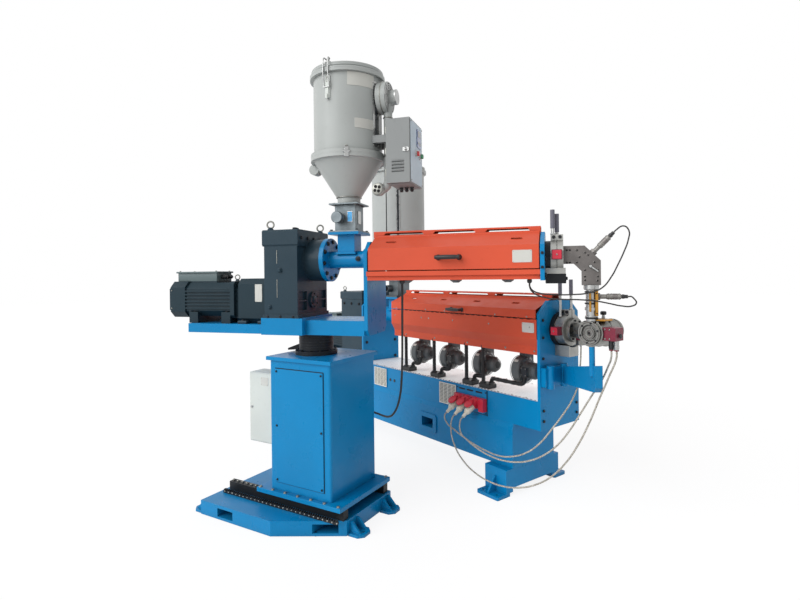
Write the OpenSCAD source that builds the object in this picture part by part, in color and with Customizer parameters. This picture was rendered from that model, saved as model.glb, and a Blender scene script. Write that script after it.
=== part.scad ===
// Co-extrusion line: a main plastic extruder on a floor base, and an
// auxiliary extruder on a swivel pedestal that feeds the same crosshead.
// Millimetres, +Z up. The origin lies on the floor, at the centre of the
// four anchor holes of the main extruder's front foot. +X runs along the
// main barrel to the crosshead, and the operator stands on the -Y side.

/* [Main base] */
// Height of the main barrel axis over the top of the base
axis_rise = 407; // [380:1:430]
// Underside of the main beam over the floor
beam_z = 160; // [140:5:200]
// Height of the main beam
beam_h = 267; // [240:1:290]
// Half width of the main beam
beam_hw = 200; // [195:1:230]
// Distance from the front foot's centre to the beam's front end
beam_front = 90; // [90:1:120]
// Distance from the back foot's centre to the back end of the base
back_overhang = 200; // [150:10:250]
// Height of the upper box of the base
box_h = 166; // [150:1:190]
// Half width of the upper box and of the end plate
box_hw = 187; // [180:1:192]
// Overhang of the end plate past the beam's front end
end_overhang = 198; // [180:1:230]
// Thickness of the end plate and of the drive plate
end_plate_t = 20; // [15:1:25]
// Height of the end plate's shoulders over the barrel axis
plate_shoulder = 99; // [90:1:110]
// Height of the end plate's top over the barrel axis
plate_top = 170; // [150:1:180]
// Half width of the end plate's top edge
plate_top_hw = 107; // [90:1:120]

/* [Feet] */
// Length of a foot block along X
foot_l = 170; // [160:5:180]
// Half width of a foot block
foot_hw = 254; // [240:1:270]
// Thickness of a foot plate
foot_plate_t = 20; // [15:1:25]
// Outer half width of the foot plates
foot_plate_hw = 331; // [325:1:345]
// Anchor hole spacing along X
anchor_dx = 110; // [90:1:120]
// Anchor hole spacing along Y
anchor_dy = 600; // [590:1:610]
// Anchor hole radius
anchor_r = 9; // [7:0.5:11]
// Distance between the front and back feet
foot_pitch = 2100; // [2000:10:2150]

/* [Main barrel and cover] */
// Length of the main cover
cover_l = 1390; // [1350:1:1400]
// Length of the feed section between the main cover and the drive plate
feed_l = 415; // [400:1:430]
// Radius of the main barrel
barrel_r = 55; // [50:1:60]
// Radius of the heater fins on the main barrel
heater_r = 85; // [75:1:95]
// Half width of the main cover
cover_hw = 192; // [185:1:200]
// Half width of the main cover's skirt
cover_low_hw = 162; // [150:1:170]
// Depth of the main cover's lower edge below the barrel axis
cover_low = 144; // [135:1:150]
// Height of the main cover's skirt
skirt_h = 47; // [40:1:55]
// Depth of the main cover's bend below the barrel axis
cover_bend = 46; // [40:1:60]
// Height of the main cover's parting line over the barrel axis
cover_part = 65; // [55:1:75]
// Height of the main cover's upper front edge over the barrel axis
cover_edge = 121; // [115:1:130]
// Height of the main cover's ridge over the barrel axis
cover_ridge = 178; // [170:1:185]
// Sheet thickness of the covers
sheet_t = 3; // [2:0.5:4]

/* [Auxiliary extruder] */
// Swivel centre along X
swivel_x = -476; // [-480:1:-470]
// Swivel centre along Y
swivel_y = -1159; // [-1165:1:-1155]
// Angle of the auxiliary barrel from the main barrel
aux_yaw = 35.2; // [35:0.1:35.4]
// Angle of the pedestal from the main barrel
base_yaw = 21.9; // [15:0.1:30]
// Height of the auxiliary barrel axis over the main one
aux_rise = 419; // [415:1:425]
// Depth of the swing beam's underside below the auxiliary barrel axis
swing_drop = 410; // [400:1:420]
// Swing beam height
swing_h = 52; // [45:1:60]
// Swing beam half width
swing_hw = 150; // [140:1:155]
// Swing beam length behind the swivel
swing_back = 794; // [760:1:820]
// Front face of the barrel post from the swivel
post_p = 331; // [325:1:335]
// Thickness of the barrel post and of the auxiliary end plate
post_t = 20; // [15:1:25]
// Feed hopper axis from the swivel
hopper_p = 170; // [165:1:175]
// Radius of the auxiliary barrel
aux_barrel_r = 40; // [36:1:44]
// Radius of the heater fins on the auxiliary barrel
aux_heater_r = 65; // [58:1:70]
// Length of the auxiliary cover
aux_cover_l = 864; // [840:1:880]
// Half width of the auxiliary cover
aux_cover_hw = 164; // [155:1:170]
// Distance from the auxiliary cover's end to the melt pipe
neck_reach = 240; // [235:1:260]

/* [Pedestal] */
// Column width along its slide
column_u = 424; // [400:1:440]
// Column width across its slide
column_v = 414; // [400:1:440]
// Height of the swivel ring
swivel_h = 122; // [110:1:135]
// Slide plate top over the floor
slide_top = 155; // [145:1:165]
// Slide plate thickness
slide_t = 24; // [18:1:30]
// Pedestal base top over the floor
pedestal_h = 81; // [75:1:90]
// Pedestal base underside over the floor
pedestal_z = 4; // [2:1:10]
// Swivel ring radius
swivel_r = 97; // [92:1:105]

/* [Hopper dryers] */
// Radius of the auxiliary hopper's cylinder
hopper_r = 190; // [180:1:200]
// Radius of the main hopper's cylinder
main_hopper_r = 216; // [205:1:225]
// Wall of the hoppers
hopper_wall = 4; // [3:0.5:6]
// Underside of the auxiliary hopper over its barrel axis
hopper_seat = 150; // [145:1:155]
// Auxiliary hopper's outlet plate over its barrel axis
hopper_plate = 309; // [300:1:320]
// Joint of the auxiliary hopper's cone and cylinder over its barrel axis
hopper_joint = 558; // [540:1:575]
// Underside of the auxiliary hopper's lid over its barrel axis
hopper_rim = 986; // [950:1:1010]

/* [Die head] */
// Radius of the crosshead
head_r = 58; // [54:1:62]
// Height of the crosshead's axis over the main barrel axis
head_rise = 35; // [30:1:40]
// Length of the crosshead's outlet past the melt pipe
head_nose = 25; // [20:1:40]
// Length of the crosshead
head_l = 220; // [210:1:240]

/* [Hidden] */
$fn = 48;

blue = "#1f7fc0";
red = "#cf4a2c";
slate = "#3d4a50";
grey = "#c9c7c0";
steel = "#a9adb1";
black = "#202326";
white = "#eeeef0";
maroon = "#9c1f36";
cream = "#e6dcc6";

// Gap round curved seats, gap of a moving lid to what it closes, and overshoot of a cut
seat_gap = 0.3;
lid_gap = 5;
cut = 1;

// Heights
beam_top = beam_z + beam_h;
box_top = beam_top + box_h;
deck_t = 4;
deck_top = box_top + deck_t;
axis_h = box_top + axis_rise;
aux_z = axis_h + aux_rise;
swing_z = aux_z - swing_drop;
swing_top = swing_z + swing_h;
column_top = swing_z - swivel_h;
head_z = axis_h + head_rise;

// Places along the main barrel
base_back = foot_pitch + back_overhang;
end_plate_x = beam_front + end_overhang;
end_plate_back = end_plate_x - end_plate_t;
cover_x1 = end_plate_back - lid_gap;
cover_x0 = cover_x1 - cover_l;
cover_mid_x = (cover_x0 + cover_x1) / 2;
drive_x = cover_x0 - feed_l;
drive_back = drive_x - end_plate_t;
throat_back = 149;
throat_x = cover_x0 - throat_back;
barrel_lap = 13;
barrel_back = cover_x0 - barrel_lap;
zone_margin = 39;
zone_gap = 48;
zone_pitch = (cover_l - 2 * zone_margin) / 4;
zone_l = zone_pitch - zone_gap;
zones = [-1.5, -0.5, 0.5, 1.5];

// Places along the auxiliary barrel, from the swivel
post_gap = 11;
aux_cover_0 = post_p + post_gap;
aux_cover_1 = aux_cover_0 + aux_cover_l;
aux_mid_p = (aux_cover_0 + aux_cover_1) / 2;
aux_end_p = aux_cover_1 + lid_gap;
aux_end_face = aux_end_p + post_t;
aux_zones = [-1, 0, 1];
aux_zone_margin = 27;
aux_zone_pitch = (aux_cover_l - 2 * aux_zone_margin) / 3;
aux_zone_l = aux_zone_pitch - zone_gap;
pipe_p = aux_cover_1 + neck_reach;
head_x = swivel_x + pipe_p * cos(aux_yaw);
pipe_y = swivel_y + pipe_p * sin(aux_yaw);
head_y0 = pipe_y - head_nose;
head_y1 = head_y0 + head_l;

// A point of the auxiliary extruder, and one of the pedestal, in the line's frame
function aux_point(p, q, z) = [swivel_x + p * cos(aux_yaw) - q * sin(aux_yaw),
  swivel_y + p * sin(aux_yaw) + q * cos(aux_yaw), z];
function pedestal_point(u, v, z) = [swivel_x + u * cos(base_yaw) - v * sin(base_yaw),
  swivel_y + u * sin(base_yaw) + v * cos(base_yaw), z];

// The auxiliary extruder's own frame: X along its barrel, Y away from the operator
module aux_place() {
  translate([swivel_x, swivel_y, 0]) rotate([0, 0, aux_yaw]) children();
}

// The pedestal's own frame: X along its slide
module pedestal_place() {
  translate([swivel_x, swivel_y, 0]) rotate([0, 0, base_yaw]) children();
}

// A box from its low corner to its high corner
module block(low, high) {
  translate(low) cube(high - low);
}

// A straight bar of constant outline along X, the outline given in Y and Z
module bar_x(x0, x1) {
  translate([x0, 0, 0]) rotate([90, 0, 90]) linear_extrude(x1 - x0) children();
}

// A cylinder along X, and one along Y
module rod_x(x0, x1, r) {
  translate([x0, 0, 0]) rotate([0, 90, 0]) cylinder(r = r, h = x1 - x0);
}

module rod_y(y0, y1, r) {
  translate([0, y0, 0]) rotate([-90, 0, 0]) cylinder(r = r, h = y1 - y0);
}

// A turned shape along X, its outline given as radius and place
module turned_x() {
  rotate([0, 90, 0]) rotate_extrude() children();
}

// Corner points of a rectangle with chamfered or with rounded corners
function chamfer_rect(x0, y0, x1, y1, c) = [[x0 + c, y0], [x1 - c, y0], [x1, y0 + c], [x1, y1 - c],
  [x1 - c, y1], [x0 + c, y1], [x0, y1 - c], [x0, y0 + c]];
corner_steps = 4;
function round_rect(x0, y0, x1, y1, r) = [for (i = [0:3]) for (k = [0:corner_steps])
  let (a = 180 + 90 * i + 90 * k / corner_steps,
    mx = i == 0 || i == 3 ? x0 + r : x1 - r, my = i < 2 ? y0 + r : y1 - r)
  [mx + r * cos(a), my + r * sin(a)]];

// A round tube swept along points, with its rings carried from point to point
function unit(v) = v / norm(v);
function heading(p, i) = unit(p[min(i + 1, len(p) - 1)] - p[max(i - 1, 0)]);
function ring_sides(p, i, s) = i == len(p) ? [] :
  let (t = heading(p, i), n = unit(s - (s * t) * t)) concat([n], ring_sides(p, i + 1, n));
tube_sides = 8;
module tube(p, r, side) {
  s = ring_sides(p, 0, side);
  last = (len(p) - 1) * tube_sides;
  points = [for (i = [0:len(p) - 1]) for (k = [0:tube_sides - 1])
    let (a = 360 * k / tube_sides) p[i] + r * (cos(a) * s[i] + sin(a) * cross(heading(p, i), s[i]))];
  wall = [for (i = [0:len(p) - 2]) for (k = [0:tube_sides - 1])
    let (a = i * tube_sides + k, b = i * tube_sides + (k + 1) % tube_sides)
    each [[a, a + tube_sides, b + tube_sides], [a, b + tube_sides, b]]];
  start = [for (k = [0:tube_sides - 1]) k];
  end = [for (k = [0:tube_sides - 1]) last + tube_sides - 1 - k];
  polyhedron(points = points, faces = concat([start, end], wall));
}

// Foot with side plates, gussets and two anchor holes a side
foot_plate_in = 215;
foot_arch = 24;
foot_leg = 60;
gusset_t = 12;
gusset_h = 90;
gusset_edge = 10;
module foot() {
  difference() {
    union() {
      block([-foot_l / 2, -foot_hw, foot_plate_t], [foot_l / 2, foot_hw, beam_z]);
      for (side = [0, 1]) mirror([0, side, 0]) {
        linear_extrude(foot_plate_t)
          polygon(round_rect(-foot_l / 2, foot_plate_in, foot_l / 2, foot_plate_hw, gusset_edge));
        translate([-gusset_t / 2, 0, 0]) rotate([90, 0, 90]) linear_extrude(gusset_t)
          polygon([[foot_hw, foot_plate_t], [foot_plate_hw - gusset_edge, foot_plate_t],
            [foot_plate_hw - gusset_edge, foot_plate_t + gusset_edge],
            [foot_hw + gusset_edge, foot_plate_t + gusset_h], [foot_hw, foot_plate_t + gusset_h]]);
      }
    }
    block([-foot_l, -foot_hw + foot_leg, foot_plate_t - cut],
      [foot_l, foot_hw - foot_leg, foot_plate_t + foot_arch]);
    for (x = [-1, 1], y = [-1, 1])
      translate([x * anchor_dx / 2, y * anchor_dy / 2, -cut])
        cylinder(r = anchor_r, h = foot_plate_t + 2 * cut);
  }
}

module main_feet() {
  color(blue) {
    foot();
    translate([-foot_pitch, 0, 0]) foot();
  }
}

// Lower beam with sloped shoulders, and two fork pockets behind raised bosses
pocket_w = 120;
pocket_h = 66;
boss_w = 190;
boss_h = 130;
boss_t = 8;
boss_r = 22;
pocket_pitch = 960;
pocket_shift = 120;
pocket_x = [for (s = [1, -1]) -foot_pitch / 2 - pocket_shift + s * pocket_pitch / 2];
pocket_drop = 18;
pocket_z = beam_z + beam_h / 2 - pocket_drop;
beam_slope = 32;
module main_beam() {
  color(blue) difference() {
    union() {
      bar_x(-base_back, beam_front) polygon([[-beam_hw, beam_z], [beam_hw, beam_z],
        [beam_hw, beam_top - beam_slope], [box_hw, beam_top], [-box_hw, beam_top],
        [-beam_hw, beam_top - beam_slope]]);
      for (x = pocket_x) translate([x, beam_hw + boss_t, pocket_z]) rotate([90, 0, 0])
        linear_extrude(2 * (beam_hw + boss_t))
          polygon(round_rect(-boss_w / 2, -boss_h / 2, boss_w / 2, boss_h / 2, boss_r));
    }
    for (x = pocket_x)
      block([x - pocket_w / 2, -beam_hw - boss_t - cut, pocket_z - pocket_h / 2],
        [x + pocket_w / 2, beam_hw + boss_t + cut, pocket_z + pocket_h / 2]);
  }
}

module main_box() {
  color(blue) block([-base_back, -box_hw, beam_top], [end_plate_back, box_hw, box_top]);
}

// Plate across the base that carries the feed section and the gearbox
drive_plate_rise = 110;
drive_chamfer = 40;
module drive_plate() {
  color(blue) bar_x(drive_back, drive_x) polygon([[-box_hw, box_top], [box_hw, box_top],
    [box_hw, axis_h + drive_plate_rise - drive_chamfer], [box_hw - drive_chamfer, axis_h + drive_plate_rise],
    [-box_hw + drive_chamfer, axis_h + drive_plate_rise],
    [-box_hw, axis_h + drive_plate_rise - drive_chamfer]]);
}

deck_inset = 8;
module deck_plate() {
  color(white) block([drive_x, -box_hw + deck_inset, box_top],
    [end_plate_back, box_hw - deck_inset, deck_top]);
}

// Two vent panels and the socket panel on the operator's side of the box
panel_t = 5;
panel_edge = 10;
vent_w = 170;
vent_x = [-1286, -487];
socket_panel_x = [-396, -122];
module base_panels() {
  color(white) for (x = vent_x)
    block([x - vent_w / 2, -box_hw - panel_t, beam_top + panel_edge],
      [x + vent_w / 2, -box_hw, box_top - panel_edge]);
  color(blue) block([socket_panel_x[0], -box_hw - panel_t, beam_top + panel_edge],
    [socket_panel_x[1], -box_hw, box_top - panel_edge]);
}

// Three mains sockets with open lids, tilted down, on one housing with a switch box
socket_x = [-354, -280, -206];
socket_z = box_top - 88;
socket_tilt = 35;
socket_face = -box_hw - panel_t;
housing_d = 26;
housing_h = 66;
housing_end = 42;
collar_l = 30;
socket_r = 26;
flap_r = 31;
flap_t = 6;
flap_lift = 30;
flap_reach = 42;
hinge_hw = 12;
switch_w = 40;
switch_d = 36;
switch_drop = 14;
module socket_place(x) {
  translate([x, socket_face - housing_d, socket_z]) rotate([90 + socket_tilt, 0, 0]) children();
}

module power_sockets() {
  x0 = socket_x[0] - housing_end;
  x1 = socket_x[2] + housing_end;
  color(maroon) {
    block([x0, socket_face - housing_d, socket_z - housing_h / 2], [x1, socket_face, socket_z + housing_h / 2]);
    block([x1, socket_face - switch_d, socket_z - housing_h / 2 - switch_drop],
      [x1 + switch_w, socket_face, socket_z + housing_h / 2]);
    for (x = socket_x) socket_place(x) {
      translate([0, 0, -housing_d / 2]) cylinder(r = socket_r, h = collar_l + housing_d / 2);
      translate([0, flap_lift, flap_reach]) rotate([-90, 0, 0]) cylinder(r = flap_r, h = flap_t);
      block([-hinge_hw, 0, 0], [hinge_hw, flap_lift + flap_t, collar_l - flap_t]);
    }
  }
}

// Plugs of the three heater cables, in their sockets
plug_r = 22;
plug_l = 62;
boot_r = 10;
boot_l = 33;
plug_end = collar_l + plug_l + boot_l;
module heater_plugs() {
  color(cream) for (x = socket_x) socket_place(x) translate([0, 0, collar_l]) rotate_extrude()
    polygon([[0, 0], [plug_r - 3, 0], [plug_r, 3], [plug_r, plug_l - 14], [plug_r - 6, plug_l],
      [boot_r + 2, plug_l], [boot_r, plug_l + boot_l], [0, plug_l + boot_l]]);
}

// Where each heater cable leaves its plug, and the way it points there
plug_way = [0, -cos(socket_tilt), -sin(socket_tilt)];
function plug_exit(i) = [socket_x[i], socket_face - housing_d, socket_z] + plug_end * plug_way;

// End plate with chamfered top corners and the barrel's hole
module main_end_plate() {
  color(blue) difference() {
    bar_x(end_plate_back, end_plate_x) polygon([[-box_hw, beam_top], [box_hw, beam_top],
      [box_hw, axis_h + plate_shoulder], [plate_top_hw, axis_h + plate_top],
      [-plate_top_hw, axis_h + plate_top], [-box_hw, axis_h + plate_shoulder]]);
    translate([0, 0, axis_h]) rod_x(end_plate_back - cut, end_plate_x + cut, barrel_r + seat_gap);
  }
}

// Cast gearbox housing: body, thicker cap, base flange, and a ribbed face with a round
// bearing boss. It stands on Z = 0 with its output face at X = 0.
cap_out = 8;
flange_h = 18;
pocket_d = 14;
web = 4;
boss_out = 10;
pocket_edge = 16;
module gear_housing(l, hw, h, cap, boss_z, boss_radius, pocket) {
  difference() {
    union() {
      block([-l, -hw, 0], [0, hw, h - cap]);
      bar_x(-l - cap_out, cap_out) polygon(chamfer_rect(-hw - cap_out, h - cap, hw + cap_out, h, cap_out));
      block([-l - cap_out, -hw - cap_out, 0], [cap_out, hw + cap_out, flange_h]);
    }
    for (y = [-1, 1], z = [-1, 1])
      translate([-pocket_d, y * (hw - pocket_edge - hw / 4), boss_z + z * (pocket / 2 + web)])
        translate([0, -hw / 4, -pocket / 2]) cube([2 * pocket_d + cap_out, hw / 2, pocket]);
  }
  translate([0, 0, boss_z]) rod_x(-pocket_d, boss_out, boss_radius);
}

// Reduction gearbox behind the drive plate
gearbox_hw = 175;
gearbox_rise = 190;
gearbox_cap = 70;
gearbox_gap = cap_out;
motor_tail = 60;
drive_room = drive_back - gearbox_gap + base_back + motor_tail;
gearbox_share = 0.43;
gearbox_l = gearbox_share * drive_room;
gearbox_boss = 60;
gearbox_pocket = 70;
module main_gearbox() {
  gearbox_h = axis_h + gearbox_rise - box_top;
  color(slate) translate([drive_back - gearbox_gap, 0, box_top]) difference() {
    gear_housing(gearbox_l, gearbox_hw, gearbox_h, gearbox_cap, axis_rise / 3, gearbox_boss, gearbox_pocket);
    block([gearbox_gap, -box_hw, 0], [gearbox_gap + end_plate_t, box_hw, gearbox_h]);
  }
}

// Motor frame along X: finned body between an end cowl and a flange, on two feet
fin_t = 8;
fin_gap = 12;
cowl_l = 120;
cowl_chamfer = 34;
shield_t = 26;
foot_pad = 60;
module motor_frame(l, hw, h, foot_h, box_l, box_w, box_h) {
  z0 = foot_h;
  fins = floor(h / (fin_t + fin_gap));
  bar_x(cowl_l, l) polygon(chamfer_rect(-hw + fin_t, z0 + fin_t, hw - fin_t, z0 + h - fin_t, cowl_chamfer));
  for (i = [2:fins - 3]) block([cowl_l, -hw, z0 + i * (fin_t + fin_gap) + fin_gap],
    [l - shield_t, hw, z0 + (i + 1) * (fin_t + fin_gap)]);
  bar_x(cowl_chamfer / 2, cowl_l) polygon(chamfer_rect(-hw, z0, hw, z0 + h, cowl_chamfer));
  bar_x(0, cowl_chamfer / 2)
    polygon(chamfer_rect(-hw + fin_gap, z0 + fin_gap, hw - fin_gap, z0 + h - fin_gap, cowl_chamfer));
  bar_x(l - shield_t, l) polygon(chamfer_rect(-hw, z0, hw, z0 + h, cowl_chamfer / 2));
  for (x = [cowl_l + foot_pad / 2, l - shield_t - foot_pad])
    block([x, -hw, 0], [x + foot_pad, hw, z0 + cowl_chamfer]);
  block([cowl_chamfer, -box_w / 2, z0 + h - fin_t], [cowl_chamfer + box_l, box_w / 2, z0 + h + box_h - fin_t]);
  block([cowl_chamfer - fin_t, -box_w / 2 - fin_t, z0 + h + box_h - fin_t],
    [cowl_chamfer + box_l + fin_t, box_w / 2 + fin_t, z0 + h + box_h]);
}

// Drive motor, lying behind the gearbox
motor_hw = 140;
motor_h = 270;
motor_lift = 46;
motor_box = [150, 140, 62];
module main_motor() {
  x0 = -base_back - motor_tail;
  x1 = drive_back - gearbox_gap - gearbox_l - cap_out;
  color(slate) translate([x0, 0, box_top])
    motor_frame(x1 - x0, motor_hw, motor_h, motor_lift, motor_box[0], motor_box[1], motor_box[2]);
}

// Feed throat: round flange on the drive side, tube with an end collar, and a square
// riser on a saddle plate to the hopper flange
throat_flange_t = 25;
riser_flange_t = 14;
saddle_rise = 0.62;
saddle_out = 8;
saddle_t = 10;
collar_out = 12;
collar_w = 45;
module throat(x0, x1, xr, r, flange_r, hw, seat, seat_hw) {
  rod_x(x0, x0 + throat_flange_t, flange_r);
  rod_x(x0, x1, r);
  rod_x(x1 - collar_w, x1, r + collar_out);
  saddle_z = saddle_rise * r;
  saddle_hw = hw + saddle_out;
  block([xr - hw, -hw, saddle_z], [xr + hw, hw, seat]);
  block([xr - saddle_hw, -saddle_hw, saddle_z], [xr + saddle_hw, saddle_hw, saddle_z + saddle_t]);
  block([xr - seat_hw, -seat_hw, seat - riser_flange_t], [xr + seat_hw, seat_hw, seat]);
}

throat_r = 62;
throat_flange_r = 135;
riser_hw = 62;
main_seat = 150;
main_seat_hw = 105;
module main_feed_throat() {
  color(blue) translate([0, 0, axis_h])
    throat(drive_x, barrel_back, throat_x, throat_r, throat_flange_r, riser_hw, main_seat,
      main_seat_hw);
}

// Both barrels, and the black flanges on their die ends
flange_t = 26;
barrel_flange_r = 100;
aux_flange_r = 72;
aux_nose_p = aux_end_face + flange_t;
main_nose_x = end_plate_x + flange_t;
module barrels() {
  color(steel) {
    translate([0, 0, axis_h]) rod_x(barrel_back, main_nose_x, barrel_r);
    aux_place() translate([0, 0, aux_z]) rod_x(post_p, aux_nose_p, aux_barrel_r);
  }
}

module flange_ring(x0, r_in, r_out) {
  translate([x0, 0, 0]) difference() {
    rod_x(0, flange_t, r_out);
    rod_x(-cut, flange_t + cut, r_in + seat_gap);
  }
}

module barrel_flanges() {
  color(black) {
    translate([0, 0, axis_h]) flange_ring(end_plate_x, barrel_r, barrel_flange_r);
    aux_place() translate([0, 0, aux_z]) flange_ring(aux_end_face, aux_barrel_r, aux_flange_r);
  }
}

// A cast heater shell round a barrel, with cooling fins
shell_t = 14;
heater_fins = 10;
module heater(r_in, r_out, len) {
  pitch = len / heater_fins;
  translate([-len / 2, 0, 0]) turned_x() polygon(concat([[r_in + seat_gap, 0]],
    [for (i = [0:heater_fins - 1]) each [[r_out, pitch * i], [r_out, pitch * (i + 0.5)],
      [r_in + shell_t, pitch * (i + 0.5)], [r_in + shell_t, pitch * (i + 1)]]], [[r_in + seat_gap, len]]));
}

module barrel_heaters() {
  color(steel) {
    for (i = zones) translate([cover_mid_x + i * zone_pitch, 0, axis_h]) heater(barrel_r, heater_r, zone_l);
    aux_place() for (i = aux_zones)
      translate([aux_mid_p + i * aux_zone_pitch, 0, aux_z]) heater(aux_barrel_r, aux_heater_r, aux_zone_l);
  }
}

// Cooling blower: scroll drum with an inlet ring, motor with a domed cowl, terminal box,
// and outlet duct up to the tray. All sizes follow the drum's radius.
module blower(r, w, motor_l, top) {
  motor_r = 0.58 * r;
  edge = 0.12 * r;
  turned_x() polygon([[0, -w / 2], [r - edge, -w / 2], [r, -w / 2 + edge], [r, w / 2 - edge],
    [r - edge, w / 2], [motor_r + edge, w / 2], [motor_r, w / 2 + edge], [motor_r, w / 2 + motor_l - 2 * edge],
    [motor_r - edge, w / 2 + motor_l - edge / 2], [motor_r / 2, w / 2 + motor_l], [0, w / 2 + motor_l]]);
  block([-w / 2 + edge, 0, 0], [w / 2 - edge, r - edge / 2, top]);
  block([w / 2 + edge, -motor_r - r / 4, -motor_r / 2], [w / 2 + 0.6 * r, 0, motor_r / 2]);
}

scroll_r = 82;
scroll_w = 66;
fan_motor_l = 92;
tray_lift = 14;
fan_shift = 13;
main_fan_drop = (cover_low + axis_rise) / 2 - fan_shift;
main_fan_y = -62;
aux_fan_r = 34;
aux_fan_h = 26;
aux_fan_rim = 8;
module barrel_blowers() {
  color(black) {
    for (i = zones) translate([cover_mid_x + i * zone_pitch, main_fan_y, axis_h - main_fan_drop])
      blower(scroll_r, scroll_w, fan_motor_l, main_fan_drop - cover_low + tray_lift);
    aux_place() for (i = aux_zones)
      translate([aux_mid_p + i * aux_zone_pitch, 0, aux_z - aux_low + aux_lift]) rotate_extrude()
        polygon([[0, -aux_fan_h], [aux_fan_r / 2, -aux_fan_h],
          [aux_fan_r - aux_fan_rim / 2, aux_fan_rim - aux_fan_h], [aux_fan_r, -aux_fan_rim], [aux_fan_r, 0], [0, 0]]);
  }
}

// Conduits of each zone: one straight down from the tray to a gland block on the deck, and
// one from the blower's terminal box that bends under the drum to the same block.
// Also the round glands where the free cables leave the trays and the column.
conduit_r = 13;
bend_r = 24;
bend_steps = 4;
conduit_y = -146;
gland_w = 46;
gland_h = 30;
gland_dx = [-56, -56, -56, -230];
run_z = deck_top + gland_h + bend_r + 6;
gland_r = 11;
gland_l = 32;
function bend(x, y, z, turn) = [for (k = [0:bend_steps]) let (a = turn - turn_sign(turn) * 90 * k / bend_steps)
  [x + bend_r * cos(a), y, z + bend_r * sin(a)]];
function turn_sign(turn) = turn > 0 ? 1 : -1;

module zone_conduit(i) {
  fan_x = cover_mid_x + zones[i] * zone_pitch;
  gland_x = fan_x + gland_dx[i];
  rise_x = gland_x + gland_w / 2;
  box_x = fan_x + scroll_w / 2 + scroll_r / 3;
  box_y = main_fan_y - 0.68 * scroll_r;
  fan_z = axis_h - main_fan_drop - 0.29 * scroll_r;
  tray_z = axis_h - cover_low + tray_lift;
  gland_z = deck_top + gland_h;
  block([gland_x - gland_w, conduit_y - gland_w / 2, deck_top],
    [gland_x + gland_w, box_y + gland_w / 2, gland_z]);
  translate([gland_x - gland_w / 2, conduit_y, gland_z]) cylinder(r = conduit_r, h = tray_z - gland_z);
  tube(concat([[rise_x, box_y, deck_top + gland_h / 2]], bend(rise_x + bend_r, box_y, run_z - bend_r, 180),
    bend(box_x - bend_r, box_y, run_z + bend_r, -90), [[box_x, box_y, fan_z]]), conduit_r, [0, 1, 0]);
}

power_gland = [495, -60];
sensor_gland_p = aux_cover_1 - 50;
sensor_gland_q = [-60, -82];
column_gland = [60, 500];
module tray_gland(p, q) {
  translate([p, q, aux_z - aux_low + aux_lift - gland_l]) cylinder(r = gland_r, h = gland_l);
}

module conduits_glands() {
  color(black) {
    for (i = [0:len(zones) - 1]) zone_conduit(i);
    aux_place() {
      tray_gland(power_gland[0], power_gland[1]);
      for (q = sensor_gland_q) tray_gland(sensor_gland_p, q);
    }
    pedestal_place() translate([column_gland[0], 0, column_gland[1]])
      rod_y(column_v / 2, column_v / 2 + gland_l, gland_r);
  }
}

// Cover outlines in Y and Z about the barrel axis. The tray is the sheet below the
// parting line, the lid the operator's upper half, and the back the other upper half.
function wall_left(p, t) = concat(p, [for (i = [len(p) - 1:-1:0]) [p[i][0] + t, p[i][1]]]);
aux_low = 117;
aux_skirt = 20;
aux_bend = 94;
aux_low_hw = 150;
aux_part = -70;
aux_edge = 49;
aux_ridge = 116;
aux_lift = 12;
rail_hw = 42;
rail_h = 30;

module tray_outline(hw, low_hw, low, skirt, bend, part, lift, t) {
  for (side = [0, 1]) mirror([side, 0])
    polygon(wall_left([[-low_hw, -low], [-low_hw, -low + skirt], [-hw, -bend], [-hw, part]], t));
  translate([-low_hw + t / 2, -low + lift]) square([2 * low_hw - t, t]);
}

module cover_trays() {
  color(red) {
    translate([0, 0, axis_h]) bar_x(cover_x0, end_plate_back)
      tray_outline(cover_hw, cover_low_hw, cover_low, skirt_h, cover_bend, cover_part, tray_lift, sheet_t);
    aux_place() translate([0, 0, aux_z]) bar_x(post_p, aux_end_p)
      tray_outline(aux_cover_hw, aux_low_hw, aux_low, aux_skirt, aux_bend, aux_part, aux_lift, sheet_t);
  }
}

knuckle_r = 6;
hinge_y = rail_hw + seat_gap + knuckle_r;
module lid_outline(hw, part, edge, ridge, t) {
  polygon([[-hw, part], [-hw, edge], [-hinge_y, ridge + t / 2], [-hinge_y, ridge - t / 2],
    [-hw + t, edge - t / 2], [-hw + t, part]]);
  translate([-hinge_y, ridge]) circle(r = knuckle_r);
}

module back_outline(hw, part, edge, ridge, t) {
  polygon([[hw, part], [hw, edge], [rail_hw, ridge], [rail_hw, ridge + rail_h], [-rail_hw, ridge + rail_h],
    [-rail_hw, ridge - t], [-rail_hw + t, ridge - t], [-rail_hw + t, ridge + rail_h - t],
    [rail_hw - t, ridge + rail_h - t], [rail_hw - t, ridge - t], [hw - t, edge - t / 2], [hw - t, part]]);
}

// Three long windows through both sides of the ridge rail, shorter at the top
window_gap = 50;
window_low = 9;
window_rim = 9;
window_slant = 12;
module rail_windows(x_mid, cover, z) {
  pitch = cover / 3.15;
  half = (pitch - window_gap) / 2;
  for (i = [-1, 0, 1]) translate([x_mid + i * pitch, rail_hw + cut, z]) rotate([90, 0, 0])
    linear_extrude(2 * (rail_hw + cut)) polygon([[-half, window_low], [half, window_low],
      [half - window_slant, rail_h - window_rim], [window_slant - half, rail_h - window_rim]]);
}

module cover_backs() {
  color(red) {
    difference() {
      translate([0, 0, axis_h]) bar_x(cover_x0, end_plate_back)
        back_outline(cover_hw, cover_part, cover_edge, cover_ridge, sheet_t);
      rail_windows(cover_mid_x, cover_l, axis_h + cover_ridge);
    }
    aux_place() difference() {
      translate([0, 0, aux_z]) bar_x(post_p, aux_end_p)
        back_outline(aux_cover_hw, aux_part, aux_edge, aux_ridge, sheet_t);
      rail_windows(aux_mid_p, aux_cover_l, aux_z + aux_ridge);
    }
  }
}

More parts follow.
